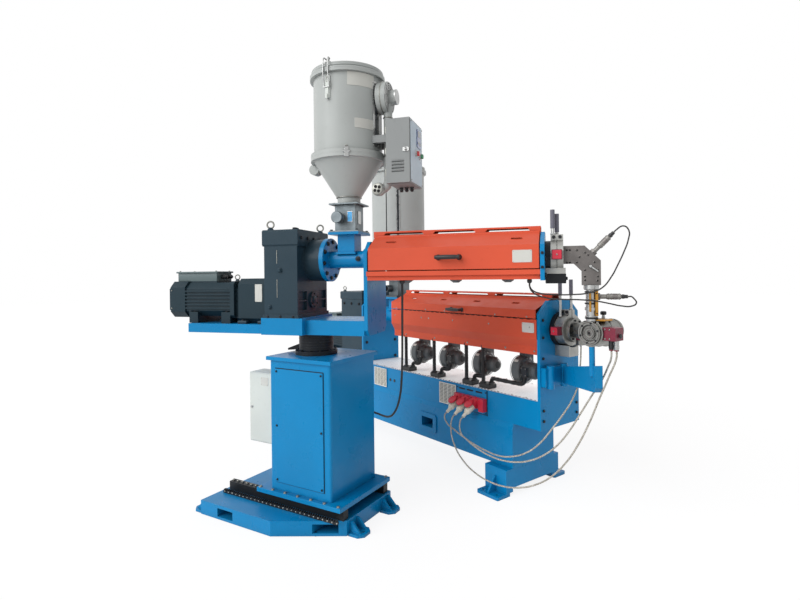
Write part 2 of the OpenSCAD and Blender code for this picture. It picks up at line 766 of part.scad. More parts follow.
// Bar handle with two stand-offs, and a row of short vents in a lid's sloped top
handle_l = 105;
handle_out = 38;
handle_r = 8;
module handle() {
  for (e = [-1, 1]) translate([e * handle_l / 2, 0, 0]) rod_y(-handle_out, 0, handle_r);
  translate([0, -handle_out, 0]) rod_x(-handle_l / 2 - handle_r, handle_l / 2 + handle_r, handle_r);
}

vent_l = 52;
vent_hw = 7;
module lid_vents(places, hw, edge, ridge) {
  slope = atan2(ridge - edge, hw - hinge_y);
  for (x = places) translate([x, -(hw + hinge_y) / 2, (edge + ridge) / 2]) rotate([slope, 0, 0])
    block([-vent_l / 2, -vent_hw, -rail_h], [vent_l / 2, vent_hw, rail_h]);
}

main_handle_x = -391;
main_handle_drop = 26;
aux_handle_p = 770;
aux_handle_z = -4;
module main_cover_lid() {
  color(red) translate([0, 0, axis_h]) {
    difference() {
      bar_x(cover_x0, cover_x1) lid_outline(cover_hw, cover_part + lid_gap, cover_edge, cover_ridge, sheet_t);
      lid_vents([for (i = zones) cover_mid_x + i * zone_pitch], cover_hw, cover_edge, cover_ridge);
    }
    translate([main_handle_x, -cover_hw, cover_edge - main_handle_drop]) handle();
  }
}

module aux_cover_lid() {
  color(red) aux_place() translate([0, 0, aux_z]) {
    difference() {
      bar_x(aux_cover_0, aux_cover_1)
        lid_outline(aux_cover_hw, aux_part + lid_gap, aux_edge, aux_ridge, sheet_t);
      lid_vents([for (i = [-1, 1]) aux_mid_p + 1.2 * i * aux_zone_pitch], aux_cover_hw, aux_edge, aux_ridge);
    }
    translate([aux_handle_p, -aux_cover_hw, aux_handle_z]) handle();
  }
}

// Hopper parts, drawn about the hopper's own axis with Z over its seat
base_hw = 60;
base_flange_hw = 86;
nozzle_r = 28;
nozzle_l = 50;
plate_hw = 85;
plate_t = 8;
collar_h = 30;
collar_r = 64;
ring_out = 18;
ring_t = 20;
lid_h = 56;
lid_out = 18;
lid_step = 8;

// Suction box between the throat and the outlet plate, with a hollow nozzle to one side
module hopper_base(plate_z) {
  block([-base_flange_hw, -base_flange_hw, 0], [base_flange_hw, base_flange_hw, plate_t]);
  block([-base_hw, -base_hw, plate_t], [base_hw, base_hw, plate_z - plate_t]);
  block([-plate_hw, -plate_hw, plate_z - plate_t], [plate_hw, plate_hw, plate_z]);
  translate([-base_hw / 2, 0, plate_z / 2]) difference() {
    rod_y(-base_hw - nozzle_l, 0, nozzle_r);
    rod_y(-base_hw - nozzle_l - cut, -base_hw, nozzle_r - hopper_wall);
  }
}

// Cone with its collar and joint ring, open inside
module hopper_cone(plate_z, joint_z, r, wall) {
  rotate_extrude() polygon([[collar_r - wall, plate_z], [collar_r, plate_z], [collar_r, plate_z + collar_h],
    [r, joint_z - ring_t], [r + ring_out, joint_z - ring_t], [r + ring_out, joint_z],
    [r - wall, joint_z], [collar_r - wall, plate_z + collar_h + wall]]);
}

// Cylinder with a ring at its foot
module hopper_cylinder(joint_z, rim_z, r, wall) {
  rotate_extrude() polygon([[r - wall, joint_z], [r + ring_out, joint_z], [r + ring_out, joint_z + ring_t],
    [r, joint_z + ring_t], [r, rim_z], [r - wall, rim_z]]);
}

// Lid with a double rim and a low crown, hollow underneath
module hopper_lid(rim_z, r, wall) {
  top = rim_z + lid_h;
  mid = rim_z + lid_h / 2;
  rotate_extrude() polygon([[0, top - wall], [0, top], [r - lid_out, top], [r, top - lid_step],
    [r + lid_out / 2, top - lid_step], [r + lid_out / 2, mid + lid_step / 2], [r + lid_step / 2, mid],
    [r + lid_out, mid - lid_step / 2], [r + lid_out, rim_z], [r - wall, rim_z],
    [r - wall, top - lid_step - wall], [r - lid_out, top - wall]]);
}

main_plate = 140;
main_joint = 420;
main_rim = 1010;
module main_hopper_place() {
  translate([throat_x, 0, axis_h + main_seat]) children();
}

module main_hopper_base() {
  color(steel) main_hopper_place() hopper_base(main_plate);
}

module main_hopper_body() {
  color(grey) main_hopper_place() {
    hopper_cone(main_plate, main_joint, main_hopper_r, hopper_wall);
    hopper_cylinder(main_joint, main_rim, main_hopper_r, hopper_wall);
  }
}

module main_hopper_lid() {
  color(grey) main_hopper_place() hopper_lid(main_rim, main_hopper_r, hopper_wall);
}

module aux_hopper_place() {
  aux_place() translate([hopper_p, 0, aux_z]) children();
}

module aux_hopper_base() {
  color(steel) aux_hopper_place() translate([0, 0, hopper_seat]) hopper_base(hopper_plate - hopper_seat);
}

// The cone carries a round lug that the cylinder's clamp ring hooks on, at the drive side
lug_r = 30;
lug_t = 26;
lug_out = 12;
lug_drop = 24;
module aux_hopper_cone() {
  color(grey) aux_hopper_place() {
    hopper_cone(hopper_plate, hopper_joint, hopper_r, hopper_wall);
    difference() {
      translate([-hopper_r - lug_out, 0, hopper_joint - ring_t - lug_drop]) rod_y(-lug_t, lug_t, lug_r);
      cone_blank(hopper_plate, hopper_joint, hopper_r - hopper_wall / 2);
      translate([-2 * hopper_r, -hopper_r, hopper_joint - ring_t / 2])
        cube([2 * hopper_r, 2 * hopper_r, lug_r]);
    }
  }
}

module aux_hopper_cylinder() {
  color(grey) aux_hopper_place() {
    hopper_cylinder(hopper_joint, hopper_rim, hopper_r, hopper_wall);
    block([-ear_hw, hopper_r - hopper_wall / 2, hopper_rim - ear_h],
      [ear_hw, ear_y, hopper_rim - knuckle_r]);
  }
}

// The lid turns on a knuckle over an ear at the back, away from the operator
ear_hw = 30;
ear_h = 40;
ear_gap = 12;
ear_y = hopper_r + lid_out + ear_gap;
module aux_hopper_lid() {
  color(grey) aux_hopper_place() translate([0, 0, hopper_rim + seat_gap]) {
    hopper_lid(0, hopper_r, hopper_wall);
    translate([0, ear_y, 0]) rod_x(-ear_hw, ear_hw, knuckle_r);
    block([-ear_hw, hopper_r + lid_out / 2, 0], [ear_hw, ear_y, knuckle_r]);
  }
}

// Toggle latch on the front of the cylinder, below the lid's rim
latch_turn = -10;
latch_w = 26;
latch_l = 120;
latch_t = 12;
latch_gap = 8;
module hopper_latches() {
  color(steel) aux_hopper_place() difference() {
    rotate([0, 0, latch_turn])
      block([-latch_w / 2, -hopper_r - latch_t, hopper_rim - latch_l],
        [latch_w / 2, 0, hopper_rim - latch_gap]);
    cylinder(r = hopper_r + seat_gap, h = hopper_rim, $fn = 180);
  }
}

// Blower beside the cylinder, and its hot air pipe that drops between the hopper and the
// control box and bends into the cone
air_r = 24;
air_p = 236;
air_z = 380;
air_bend = 52;
fan_disc_r = 86;
fan_disc_t = 54;
fan_disc_z = 880;
fan_hub_r = 40;
fan_hub_t = 46;
fan_disc_p = hopper_r + seat_gap;
gate_r = 34;
gate_l = 40;
module dryer_blower() {
  color(grey) aux_hopper_place() difference() {
    union() {
      translate([fan_disc_p - hopper_r / 2, 0, fan_disc_z]) rod_x(0, hopper_r / 2, fan_hub_r);
      translate([fan_disc_p, 0, fan_disc_z]) {
        rod_x(0, fan_disc_t, fan_disc_r);
        rod_x(fan_disc_t, fan_disc_t + fan_hub_t, fan_hub_r);
      }
      translate([air_p, 0, air_z + air_bend]) cylinder(r = air_r, h = fan_disc_z - air_z - air_bend);
      translate([air_p - air_bend, 0, air_z + air_bend]) rotate([90, 0, 0]) rotate([0, 0, -90])
        rotate_extrude(angle = 90) translate([air_bend, 0]) circle(r = air_r);
      translate([0, 0, air_z]) rod_x(0, air_p - air_bend, air_r);
      translate([air_p - air_bend, 0, air_z]) rod_y(-gate_l, 0, gate_r);
    }
    cylinder(r = hopper_r + seat_gap, h = hopper_rim);
    cylinder(r = collar_r + seat_gap, h = hopper_joint);
    cone_blank(hopper_plate, hopper_joint, hopper_r + seat_gap);
    translate([fan_disc_p + fan_disc_t + fan_hub_t / 2, 0, fan_disc_z])
      rod_x(0, fan_hub_t, fan_hub_r - 2 * hopper_wall);
  }
}

// The cone's outside, for what is fitted to it
module cone_blank(plate_z, joint_z, r) {
  translate([0, 0, plate_z + collar_h])
    cylinder(r1 = collar_r + seat_gap, r2 = r, h = joint_z - ring_t - plate_z - collar_h);
}

// Control box with its louvred door towards the operator and its panel towards the die
box_p0 = 263;
box_p1 = 392;
box_q = 121;
box_z0 = 392;
box_z1 = 729;
door_t = 10;
bracket_q = 70;
bracket_z = 620;
bracket_w = 24;
bracket_h = 40;
module control_box() {
  color(grey) aux_hopper_place() {
    block([box_p0, -box_q + door_t + seat_gap, box_z0], [box_p1, box_q, box_z1]);
    difference() {
      for (q = [-1, 1]) translate([0, q * bracket_q, bracket_z])
        block([0, -bracket_w / 2, 0], [box_p0, bracket_w / 2, bracket_h]);
      cylinder(r = hopper_r + seat_gap, h = hopper_rim);
    }
  }
}

louvre_l = 66;
louvre_h = 5;
louvre_pitch = 17;
louvre_z = 56;
module control_box_door() {
  color(grey) aux_hopper_place() difference() {
    block([box_p0, -box_q, box_z0], [box_p1, -box_q + door_t, box_z1]);
    for (i = [0:3]) translate([(box_p0 + box_p1) / 2, -box_q, box_z0 + louvre_z + i * louvre_pitch])
      block([-louvre_l / 2, -cut, 0], [louvre_l / 2, door_t / 2, louvre_h]);
  }
}

// Split clamps on the flanges, slit at the top between two lugs, each over a cradle on its
// end plate
clamp_l = 60;
clamp_r = 92;
aux_clamp_r = 78;
slit_w = 6;
lug_hw = 26;
lug_h = 24;
cradle_hw = 46;
cradle_h = 60;
cradle_out = 10;
module clamp(x0, r) {
  difference() {
    union() {
      rod_x(x0, x0 + clamp_l, r);
      block([x0, -lug_hw, 0], [x0 + clamp_l, lug_hw, r + lug_h]);
    }
    block([x0 - cut, -slit_w / 2, 0], [x0 + clamp_l + cut, slit_w / 2, r + lug_h + cut]);
  }
}

module cradle(x0, x1, r, flange) {
  difference() {
    block([x0, -cradle_hw, -r - cradle_h], [x1 + cradle_out, cradle_hw, -r / 2]);
    rod_x(x0 - cut, x1 + cradle_out + cut, max(r, flange) + seat_gap);
  }
}

module die_clamps() {
  color(steel) {
    translate([0, 0, axis_h]) {
      clamp(main_nose_x, clamp_r);
      cradle(end_plate_x, main_nose_x + clamp_l, clamp_r, barrel_flange_r);
    }
    aux_place() translate([0, 0, aux_z]) {
      clamp(aux_nose_p, aux_clamp_r);
      cradle(aux_end_face, aux_nose_p + clamp_l, aux_clamp_r, aux_flange_r);
    }
  }
}

// Lever screws of the clamps: a chrome rod with a thicker grip
lever_r = 7;
grip_r = 11;
grip_l = 92;
main_levers = [[-14, -50, 200], [14, 16, 200]];
aux_levers = [[-20, -16, 148], [0, 16, 130]];
module levers(places, r) {
  difference() {
    for (p = places) translate([p[0], p[1], 0]) {
      cylinder(r = lever_r, h = r + p[2]);
      translate([0, 0, r + p[2] - grip_l]) cylinder(r = grip_r, h = grip_l);
    }
    rod_x(-clamp_l, clamp_l, r + seat_gap);
    block([-clamp_l, -lug_hw, 0], [clamp_l, lug_hw, r + lug_h]);
  }
}

module clamp_levers() {
  color(slate) {
    translate([main_nose_x + clamp_l / 2, 0, axis_h]) levers(main_levers, clamp_r);
    aux_place() translate([aux_nose_p + clamp_l / 2, 0, aux_z]) levers(aux_levers, aux_clamp_r);
  }
}

// Adapter from the clamp, turned off the barrel axis towards the crosshead's inlet
adapter_r = 44;
adapter_collar_r = 70;
adapter_collar_l = 28;
inlet_share = 0.68;
inlet_l = 50;
inlet_y = head_y0 + inlet_share * head_l;
adapter_x = main_nose_x + clamp_l + adapter_collar_l;
adapter_run = norm([head_x - adapter_x, inlet_y]);
adapter_yaw = atan2(inlet_y, head_x - adapter_x);
adapter_l = adapter_run - head_r - inlet_l;
module adapter_place() {
  translate([adapter_x, 0, axis_h]) rotate([0, 0, adapter_yaw]) children();
}

module die_adapter() {
  color(steel) {
    translate([adapter_x, 0, axis_h]) rod_x(-adapter_collar_l, 0, adapter_collar_r);
    adapter_place() {
      rod_x(0, adapter_l, adapter_r);
      rod_x(adapter_l - adapter_collar_l, adapter_l, adapter_r + collar_out);
    }
  }
}

// Crosshead: a turned body across the line with a stepped nose, and its flanged inlet
nose_step = 9;
nose_lip = 0.72;
module crosshead() {
  color(steel) {
    translate([head_x, 0, head_z]) rotate([-90, 0, 0]) rotate_extrude()
      polygon([[0, head_y0 + 2 * nose_step], [head_r / 4, head_y0], [head_r / 2, head_y0],
        [head_r / 2, head_y0 + nose_step], [nose_lip * head_r, head_y0 + nose_step],
        [nose_lip * head_r, head_y0], [head_r, head_y0], [head_r, head_y1], [0, head_y1]]);
    adapter_place() {
      rod_x(adapter_l, adapter_run, adapter_r);
      rod_x(adapter_l, adapter_l + adapter_collar_l, adapter_r + collar_out);
    }
  }
}

// Red terminal boxes of the band heaters: one on each clamp, one under the adapter, and one
// on a band round the crosshead, with the connectors that their cables leave from
term_hw = 24;
term_d = 38;
module clamp_terminal(r) {
  difference() {
    block([-term_hw, -r - term_d, -term_hw], [term_hw, -r / 2, term_hw]);
    rod_x(-clamp_l, clamp_l, r + seat_gap);
  }
}

band_t = 8;
band_y0 = head_y0 + 12;
band_y1 = head_y0 + 100;
band_slot = 34;
head_term_l = 60;
head_term_hw = 35;
head_term_h = 31;
connector_r = 11;
connector_l = 50;
connector_x = [18, 45];
adapter_term_x = 60;
adapter_term_hw = 20;
adapter_term_h = 30;
head_term_y = (band_y0 + band_y1) / 2;
head_band_x = head_x + head_r + seat_gap + band_t;
cable_exit_b = [head_band_x + connector_x[0], head_term_y, head_z - head_term_h - connector_l];
cable_exit_c = [head_band_x + connector_x[1], head_term_y, head_z - head_term_h - connector_l];
adapter_term_drop = adapter_r + seat_gap + adapter_term_h;
cable_exit_a = [adapter_x + adapter_term_x * cos(adapter_yaw), adapter_term_x * sin(adapter_yaw),
  axis_h - adapter_term_drop];
module heater_boxes() {
  color(maroon) {
    translate([main_nose_x + clamp_l / 2, 0, axis_h]) clamp_terminal(clamp_r);
    aux_place() translate([aux_nose_p + clamp_l / 2, 0, aux_z]) clamp_terminal(aux_clamp_r);
    adapter_place() difference() {
      block([adapter_term_x - adapter_term_hw, -adapter_term_hw, -adapter_term_drop],
        [adapter_term_x + adapter_term_hw, adapter_term_hw, 0]);
      rod_x(0, adapter_l, adapter_r + seat_gap);
    }
    difference() {
      union() {
        translate([head_x, 0, head_z]) rod_y(band_y0, band_y1, head_r + seat_gap + band_t);
        block([head_x, head_term_y - head_term_hw, head_z - head_term_h],
          [head_band_x + head_term_l, head_term_y + head_term_hw, head_z + head_term_h]);
      }
      translate([head_x, 0, head_z]) rod_y(head_y0, head_y1, head_r + seat_gap);
      block([head_x - band_slot, head_y0, head_z], [head_x + band_slot, head_y1, head_z + 2 * head_r]);
    }
    for (e = [cable_exit_b, cable_exit_c]) translate(e) cylinder(r = connector_r, h = connector_l);
  }
}

// Support arm: a hinge plate with knuckles on the end plate, a sloped arm, and a post
// under the crosshead
arm_drop = 319;
arm_h = 108;
arm_lift = 92;
arm_t = 36;
hinge_t = 32;
hinge_y0 = -180;
hinge_y1 = 40;
arm_knuckle_r = 22;
arm_edge = 6;
arm_tail = 26;
post_r = 14;
arm_post_y = pipe_y;
module support_arm() {
  z0 = axis_h - arm_drop;
  root = [end_plate_x + hinge_t, hinge_y1 - arm_t];
  tip = [head_x + arm_tail, arm_post_y];
  reach = norm(tip - root);
  post_at = reach - arm_tail;
  post_z = z0 + arm_lift * post_at / reach;
  color(blue) {
    block([end_plate_x, hinge_y0, z0], [end_plate_x + hinge_t, hinge_y1, z0 + arm_h]);
    for (y = [hinge_y0 + 2 * arm_knuckle_r, hinge_y1 - 2 * arm_knuckle_r])
      translate([end_plate_x + hinge_t, y, z0 - arm_knuckle_r / 2])
        cylinder(r = arm_knuckle_r, h = arm_h + arm_knuckle_r);
    translate([root[0], root[1], z0]) rotate([0, 0, atan2(tip[1] - root[1], tip[0] - root[0])])
      rotate([90, 0, 0]) translate([0, 0, -arm_t / 2]) linear_extrude(arm_t)
        polygon([[-arm_t / 2, arm_edge], [arm_t / 2, arm_edge], [reach, arm_lift - arm_tail],
          [reach + arm_tail, arm_lift], [reach + arm_tail, arm_h + arm_lift],
          [arm_t / 2, arm_h - arm_edge], [-arm_t / 2, arm_h - arm_edge]]);
    translate([tip[0] - arm_tail, tip[1], post_z + arm_h / 2])
      cylinder(r = post_r, h = head_z - head_r - seat_gap - band_t - seat_gap - post_z - arm_h / 2);
  }
}

// Melt pipe with rings, square gooseneck block and the two melt sensors
pipe_r = 26;
pipe_ring = 5;
neck_t = 42;
neck_hw = 44;
neck_low = 150;
neck_out = 74;
neck_in = 36;
module gooseneck() {
  x0 = aux_nose_p + clamp_l;
  color(slate) aux_place() translate([0, 0, aux_z]) rotate([90, 0, 0]) translate([0, 0, -neck_t / 2])
    linear_extrude(neck_t) polygon([[x0, -neck_hw], [pipe_p - neck_hw - neck_in, -neck_hw],
      [pipe_p - neck_hw, -neck_hw - neck_in], [pipe_p - neck_hw, -neck_low], [pipe_p + neck_hw, -neck_low],
      [pipe_p + neck_hw, neck_hw - neck_out], [pipe_p + neck_hw - neck_out, neck_hw], [x0, neck_hw]]);
}

module melt_pipe() {
  z0 = head_z + head_r + seat_gap;
  h = aux_z - neck_low - z0;
  color(steel) aux_place() translate([pipe_p, 0, z0]) rotate_extrude()
    polygon([[0, 0], [pipe_r, 0], [pipe_r, 0.3 * h], [pipe_r + pipe_ring, 0.3 * h],
      [pipe_r + pipe_ring, 0.38 * h], [pipe_r, 0.38 * h], [pipe_r, h - 4 * pipe_ring],
      [pipe_r + 2 * pipe_ring, h - 4 * pipe_ring], [pipe_r + 2 * pipe_ring, h], [0, h]]);
}

sensor_r = 14;
sensor_l = 112;
stem_r = 8;
stem_l = 28;
sensor_drop = 56;
module sensor() {
  rotate_extrude() polygon([[0, 0], [sensor_r + 3, 0], [sensor_r + 3, sensor_r], [sensor_r - 3, sensor_r],
    [sensor_r - 3, 3 * sensor_r], [sensor_r, 3 * sensor_r + 3], [sensor_r, sensor_l - 6],
    [stem_r, sensor_l], [stem_r, sensor_l + stem_l], [0, sensor_l + stem_l]]);
}

neck_face = [pipe_p + neck_hw - neck_out / 2, aux_z + neck_hw - neck_out / 2];
low_sensor_p = pipe_p + pipe_r + seat_gap;
low_sensor_z = aux_z - neck_low - sensor_drop;
sensor_reach = sensor_l + stem_l;
module melt_sensors() {
  color(slate) aux_place() {
    translate([neck_face[0], 0, neck_face[1]]) rotate([0, 45, 0]) sensor();
    translate([low_sensor_p, 0, low_sensor_z]) rotate([0, 90, 0]) sensor();
  }
}

// Pedestal base with a cut corner, two fork pockets, and foot plates with gussets
ped_u0 = -570;
ped_u1 = 301;
ped_v0 = -388;
ped_v1 = 226;
cut_u = -41;
cut_v = -197;
fork_u = [-376, 205];
fork_w = 118;
fork_z0 = 18;
fork_h = 46;
pad_l = 84;
pad_hw = 52;
pad_t = 14;
rib_t = 12;
rib_h = 54;
pad_hole_r = 9;
module pedestal_foot() {
  difference() {
    linear_extrude(pad_t) polygon([[-cut, -pad_hw], [pad_l - pad_hw / 2, -pad_hw], [pad_l, -pad_hw / 2],
      [pad_l, pad_hw / 2], [pad_l - pad_hw / 2, pad_hw], [-cut, pad_hw]]);
    translate([0.7 * pad_l, 0, -cut]) cylinder(r = pad_hole_r, h = pad_t + 2 * cut);
  }
  for (side = [-1, 1]) translate([0, side * (pad_hw - 2 * rib_t) + rib_t / 2, pad_t]) rotate([90, 0, 0])
    linear_extrude(rib_t) polygon([[-cut, 0], [0.75 * pad_l, 0], [rib_t, rib_h], [-cut, rib_h]]);
}

module pedestal_base() {
  color(blue) pedestal_place() {
    difference() {
      translate([0, 0, pedestal_z]) linear_extrude(pedestal_h - pedestal_z)
        polygon([[ped_u0, ped_v0], [cut_u, ped_v0], [ped_u1, cut_v], [ped_u1, ped_v1], [ped_u0, ped_v1]]);
      for (u = fork_u) block([u - fork_w / 2, ped_v0 - cut, fork_z0],
        [u + fork_w / 2, ped_v1 + cut, fork_z0 + fork_h]);
    }
    for (v = [cut_v + 1.2 * pad_hw, ped_v1 - 1.2 * pad_hw]) translate([ped_u1, v, 0]) pedestal_foot();
    for (v = [ped_v0 + 1.2 * pad_hw, ped_v1 - 1.2 * pad_hw])
      translate([ped_u0, v, 0]) rotate([0, 0, 180]) pedestal_foot();
  }
}

// Two slide rails under the plate, and a toothed rack along the plate's front edge
rail_w = 40;
rail_v = 190;
rail_u0 = -540;
rail_u1 = 290;
slide_u = 290;
slide_v = 238;
rack_gap = 4;
rack_w = 16;
rack_h = 22;
tooth_pitch = 15;
tooth_h = 10;
module slide_rails() {
  teeth = floor((rail_u1 - rail_u0) / tooth_pitch);
  rack_top = pedestal_h + rack_h;
  color(black) pedestal_place() {
    for (v = [-1, 1]) block([rail_u0, v * rail_v - rail_w / 2, pedestal_h],
      [rail_u1, v * rail_v + rail_w / 2, slide_top - slide_t]);
    translate([rail_u0, -slide_v - rack_gap, 0]) rotate([90, 0, 0]) linear_extrude(rack_w)
      polygon(concat([[0, pedestal_h]], [[teeth * tooth_pitch, pedestal_h]],
        [for (i = [teeth - 1:-1:0]) each [[(i + 1) * tooth_pitch, rack_top - tooth_h],
          [(i + 0.75) * tooth_pitch, rack_top - tooth_h], [(i + 0.6) * tooth_pitch, rack_top],
          [(i + 0.4) * tooth_pitch, rack_top], [(i + 0.25) * tooth_pitch, rack_top - tooth_h]]],
        [[0, rack_top - tooth_h]]));
  }
}

module slide_plate() {
  color(blue) pedestal_place() block([-slide_u, -slide_v, slide_top - slide_t], [slide_u, slide_v, slide_top]);
}

// Folded column with round edges and an overhanging top plate
top_plate_t = 20;
top_plate_out = 14;
column_edge = 14;
module column() {
  hu = column_u / 2;
  hv = column_v / 2;
  color(blue) pedestal_place() {
    translate([0, 0, slide_top]) linear_extrude(column_top - top_plate_t - slide_top)
      polygon(round_rect(-hu, -hv, hu, hv, column_edge));
    block([-hu - top_plate_out, -hv - top_plate_out, column_top - top_plate_t],
      [hu + top_plate_out, hv + top_plate_out, column_top]);
  }
}

column_door_t = 6;
column_door_edge = 45;
module column_door() {
  color(blue) pedestal_place() block(
    [-column_u / 2 + column_door_edge, -column_v / 2 - column_door_t, slide_top + column_door_edge],
    [column_u / 2 - column_door_edge, -column_v / 2, column_top - top_plate_t - column_door_edge]);
}

// Junction box on the column's drive side, with a lipped door
junction_d = 120;
junction_v = -60;
junction_z = [390, 770];
junction_lip = 8;
module junction_box() {
  u0 = -column_u / 2 - junction_d;
  v1 = column_v / 2 - column_edge;
  color(white) pedestal_place() {
    block([u0, junction_v, junction_z[0]], [-column_u / 2, v1, junction_z[1]]);
    block([u0 - junction_lip, junction_v + junction_lip, junction_z[0] + junction_lip],
      [u0, v1 - junction_lip, junction_z[1] - junction_lip]);
  }
}

// Swivel ring with a bolt flange and a locking lever
swivel_flange = 22;
swivel_shift = -42;
swivel_flange_t = 22;
lock_w = 34;
lock_l = 96;
lock_turn = 170;
module swivel_ring() {
  color(black) aux_place() translate([swivel_shift, 0, column_top]) {
    rotate_extrude()
      polygon([[0, 0], [swivel_r + swivel_flange, 0], [swivel_r + swivel_flange, swivel_flange_t],
      [swivel_r + swivel_flange / 3, swivel_flange_t], [swivel_r, swivel_flange_t + swivel_flange / 3],
      [swivel_r, swivel_h], [0, swivel_h]]);
    rotate([0, 0, lock_turn]) translate([swivel_r, 0, swivel_flange_t]) rotate([90, 0, 0])
      translate([0, 0, -lock_w / 2]) linear_extrude(lock_w)
        polygon([[-swivel_flange, 0], [lock_l, -swivel_flange_t / 2], [lock_l, 0], [0, lock_w]]);
  }
}

// Swing beam: low under the motor, high and wide under the gearbox, high up to the post
bed_t = 40;
bed_hw = 190;
bed_p0 = -282;
bed_p1 = -30;
bed_step = 12;
module swing_beam() {
  color(blue) aux_place() {
    block([-swing_back, -swing_hw, swing_z], [post_p - post_t, swing_hw, swing_top]);
    block([bed_p0, -bed_hw, swing_z], [bed_p1, bed_hw, swing_top + bed_t]);
    block([bed_p1, -swing_hw, swing_top], [post_p - post_t, swing_hw, swing_top + bed_t - bed_step]);
  }
}

post_top = 90;
post_chamfer = 60;
post_foot_r = 30;
module barrel_post() {
  color(blue) aux_place() bar_x(post_p - post_t, post_p) polygon([[-swing_hw + post_foot_r, swing_z],
    [swing_hw - post_foot_r, swing_z], [swing_hw, swing_z + post_foot_r],
    [swing_hw, aux_z + post_top - post_chamfer], [swing_hw - post_chamfer, aux_z + post_top],
    [-swing_hw + post_chamfer, aux_z + post_top], [-swing_hw, aux_z + post_top - post_chamfer],
    [-swing_hw, swing_z + post_foot_r]]);
}

end_plate_lap = 2;
end_plate_low = 6;
module aux_end_plate() {
  hw = aux_cover_hw + end_plate_lap;
  color(blue) aux_place() translate([0, 0, aux_z]) difference() {
    bar_x(aux_end_p, aux_end_face) polygon([[-hw, -aux_low - end_plate_low], [hw, -aux_low - end_plate_low],
      [hw, aux_edge], [rail_hw, aux_ridge], [-rail_hw, aux_ridge], [-hw, aux_edge]]);
    rod_x(aux_end_p - cut, aux_end_face + cut, aux_barrel_r + seat_gap);
  }
}

// Motor of the auxiliary extruder, and the cast housing between it and the gearbox
aux_motor_p0 = -963;
aux_motor_p1 = -505;
aux_motor_hw = 118;
aux_motor_h = 214;
aux_motor_lift = 30;
aux_motor_box = [276, 140, 58];
module aux_motor() {
  color(slate) aux_place() translate([aux_motor_p0, 0, swing_top])
    motor_frame(aux_motor_p1 - aux_motor_p0, aux_motor_hw, aux_motor_h, aux_motor_lift,
      aux_motor_box[0], aux_motor_box[1], aux_motor_box[2]);
}

bell_hw = 112;
bell_h = 258;
bell_waist = 96;
bell_chamfer = 30;
module aux_bell_housing() {
  p1 = gear_p0 - cap_out;
  color(slate) aux_place() translate([0, 0, swing_top]) {
    bar_x(aux_motor_p1, aux_motor_p1 + shield_t)
      polygon(chamfer_rect(-bell_waist, 0, bell_waist, bell_h - bell_chamfer, bell_chamfer));
    bar_x(aux_motor_p1 + shield_t, bed_p0) polygon(chamfer_rect(-bell_hw, 0, bell_hw, bell_h, bell_chamfer));
    bar_x(bed_p0, p1) polygon(chamfer_rect(-bell_hw, bed_t, bell_hw, bell_h, bell_chamfer));
  }
}

gear_p0 = -263;
gear_p1 = -60;
gear_hw = 182;
gear_rise = 166;
gear_cap = 90;
gear_neck_r = 118;
gear_boss = 48;
gear_pocket = 48;
gear_boss_z = 92;
flange_p = 36;
module aux_gearbox() {
  gear_z = swing_top + bed_t;
  color(slate) aux_place() {
    translate([gear_p1, 0, gear_z])
      gear_housing(gear_p1 - gear_p0, gear_hw, aux_z + gear_rise - gear_z, gear_cap,
        gear_boss_z, gear_boss, gear_pocket);
    translate([0, 0, aux_z]) rod_x(gear_p1, flange_p, gear_neck_r);
  }
}

aux_throat_r = 48;
aux_throat_flange_r = 122;
aux_riser_hw = 50;
aux_seat_hw = 90;
module aux_feed_throat() {
  color(blue) aux_place() translate([0, 0, aux_z])
    throat(flange_p, post_p - post_t, hopper_p, aux_throat_r, aux_throat_flange_r, aux_riser_hw, hopper_seat,
      aux_seat_hw);
}

// Free cables. Each leaves its plug, gland or sensor straight, runs over the points below,
// and goes straight into its connector or gland at the far end.
heater_cable_r = 4.5;
power_cable_r = 6;
sensor_cable_r = 3.5;
lead = 26;
sensor_lead = 14;
up = [0, 0, 1];

route_a = [[-330, -348, 376], [-270, -340, 342], [-180, -338, 312], [-90, -334, 288], [0, -328, 272],
  [90, -320, 266], [180, -310, 284], [270, -296, 326], [345, -274, 392], [400, -240, 475],
  [438, -190, 555], [457, -130, 630], [456, -66, 716], [452, -42, 806]];
route_b = [[-185, -364, 350], [-120, -368, 315], [-30, -364, 282], [60, -358, 264], [150, -350, 262],
  [240, -342, 276], [330, -332, 308], [415, -322, 360], [490, -308, 430], [550, -290, 515],
  [600, -266, 610], [645, -240, 700], [695, -228, 785], [745, -250, 865]];
route_c = [[-268, -368, 345], [-225, -376, 255], [-150, -378, 185], [-50, -378, 140], [60, -376, 122],
  [170, -372, 126], [280, -366, 152], [385, -360, 200], [480, -354, 270], [565, -348, 365],
  [635, -342, 475], [695, -338, 595], [745, -334, 715], [790, -320, 830]];
power_route = [[-40, -922, 1120], [-46, -919, 990], [-54, -915, 880], [-70, -908, 775], [-100, -896, 680],
  [-150, -880, 600], [-220, -858, 540], [-300, -832, 505], [-380, -812, 490], [-450, -806, 488],
  [-500, -820, 492]];
upper_route = [[150, -3, 134], [172, -8, 112], [168, -16, 65], [148, -26, 10], [120, -38, -50], [88, -50, -110],
  [45, -60, -162], [-15, -64, -186], [-90, -62, -194], [-170, -60, -194], [-240, -60, -188], [-278, -60, -172]];
lower_route = [[192, -8, -216], [200, -22, -236], [176, -36, -250], [130, -48, -248], [75, -60, -236],
  [15, -72, -224], [-60, -78, -218], [-140, -80, -216], [-215, -82, -208], [-276, -82, -180]];

function heater_route(i, points, exit) = concat([plug_exit(i), plug_exit(i) + lead * plug_way], points,
  [exit - lead * up, exit]);
module heater_cable_a() {
  color(cream) tube(heater_route(0, route_a, cable_exit_a), heater_cable_r, [1, 0, 0]);
}

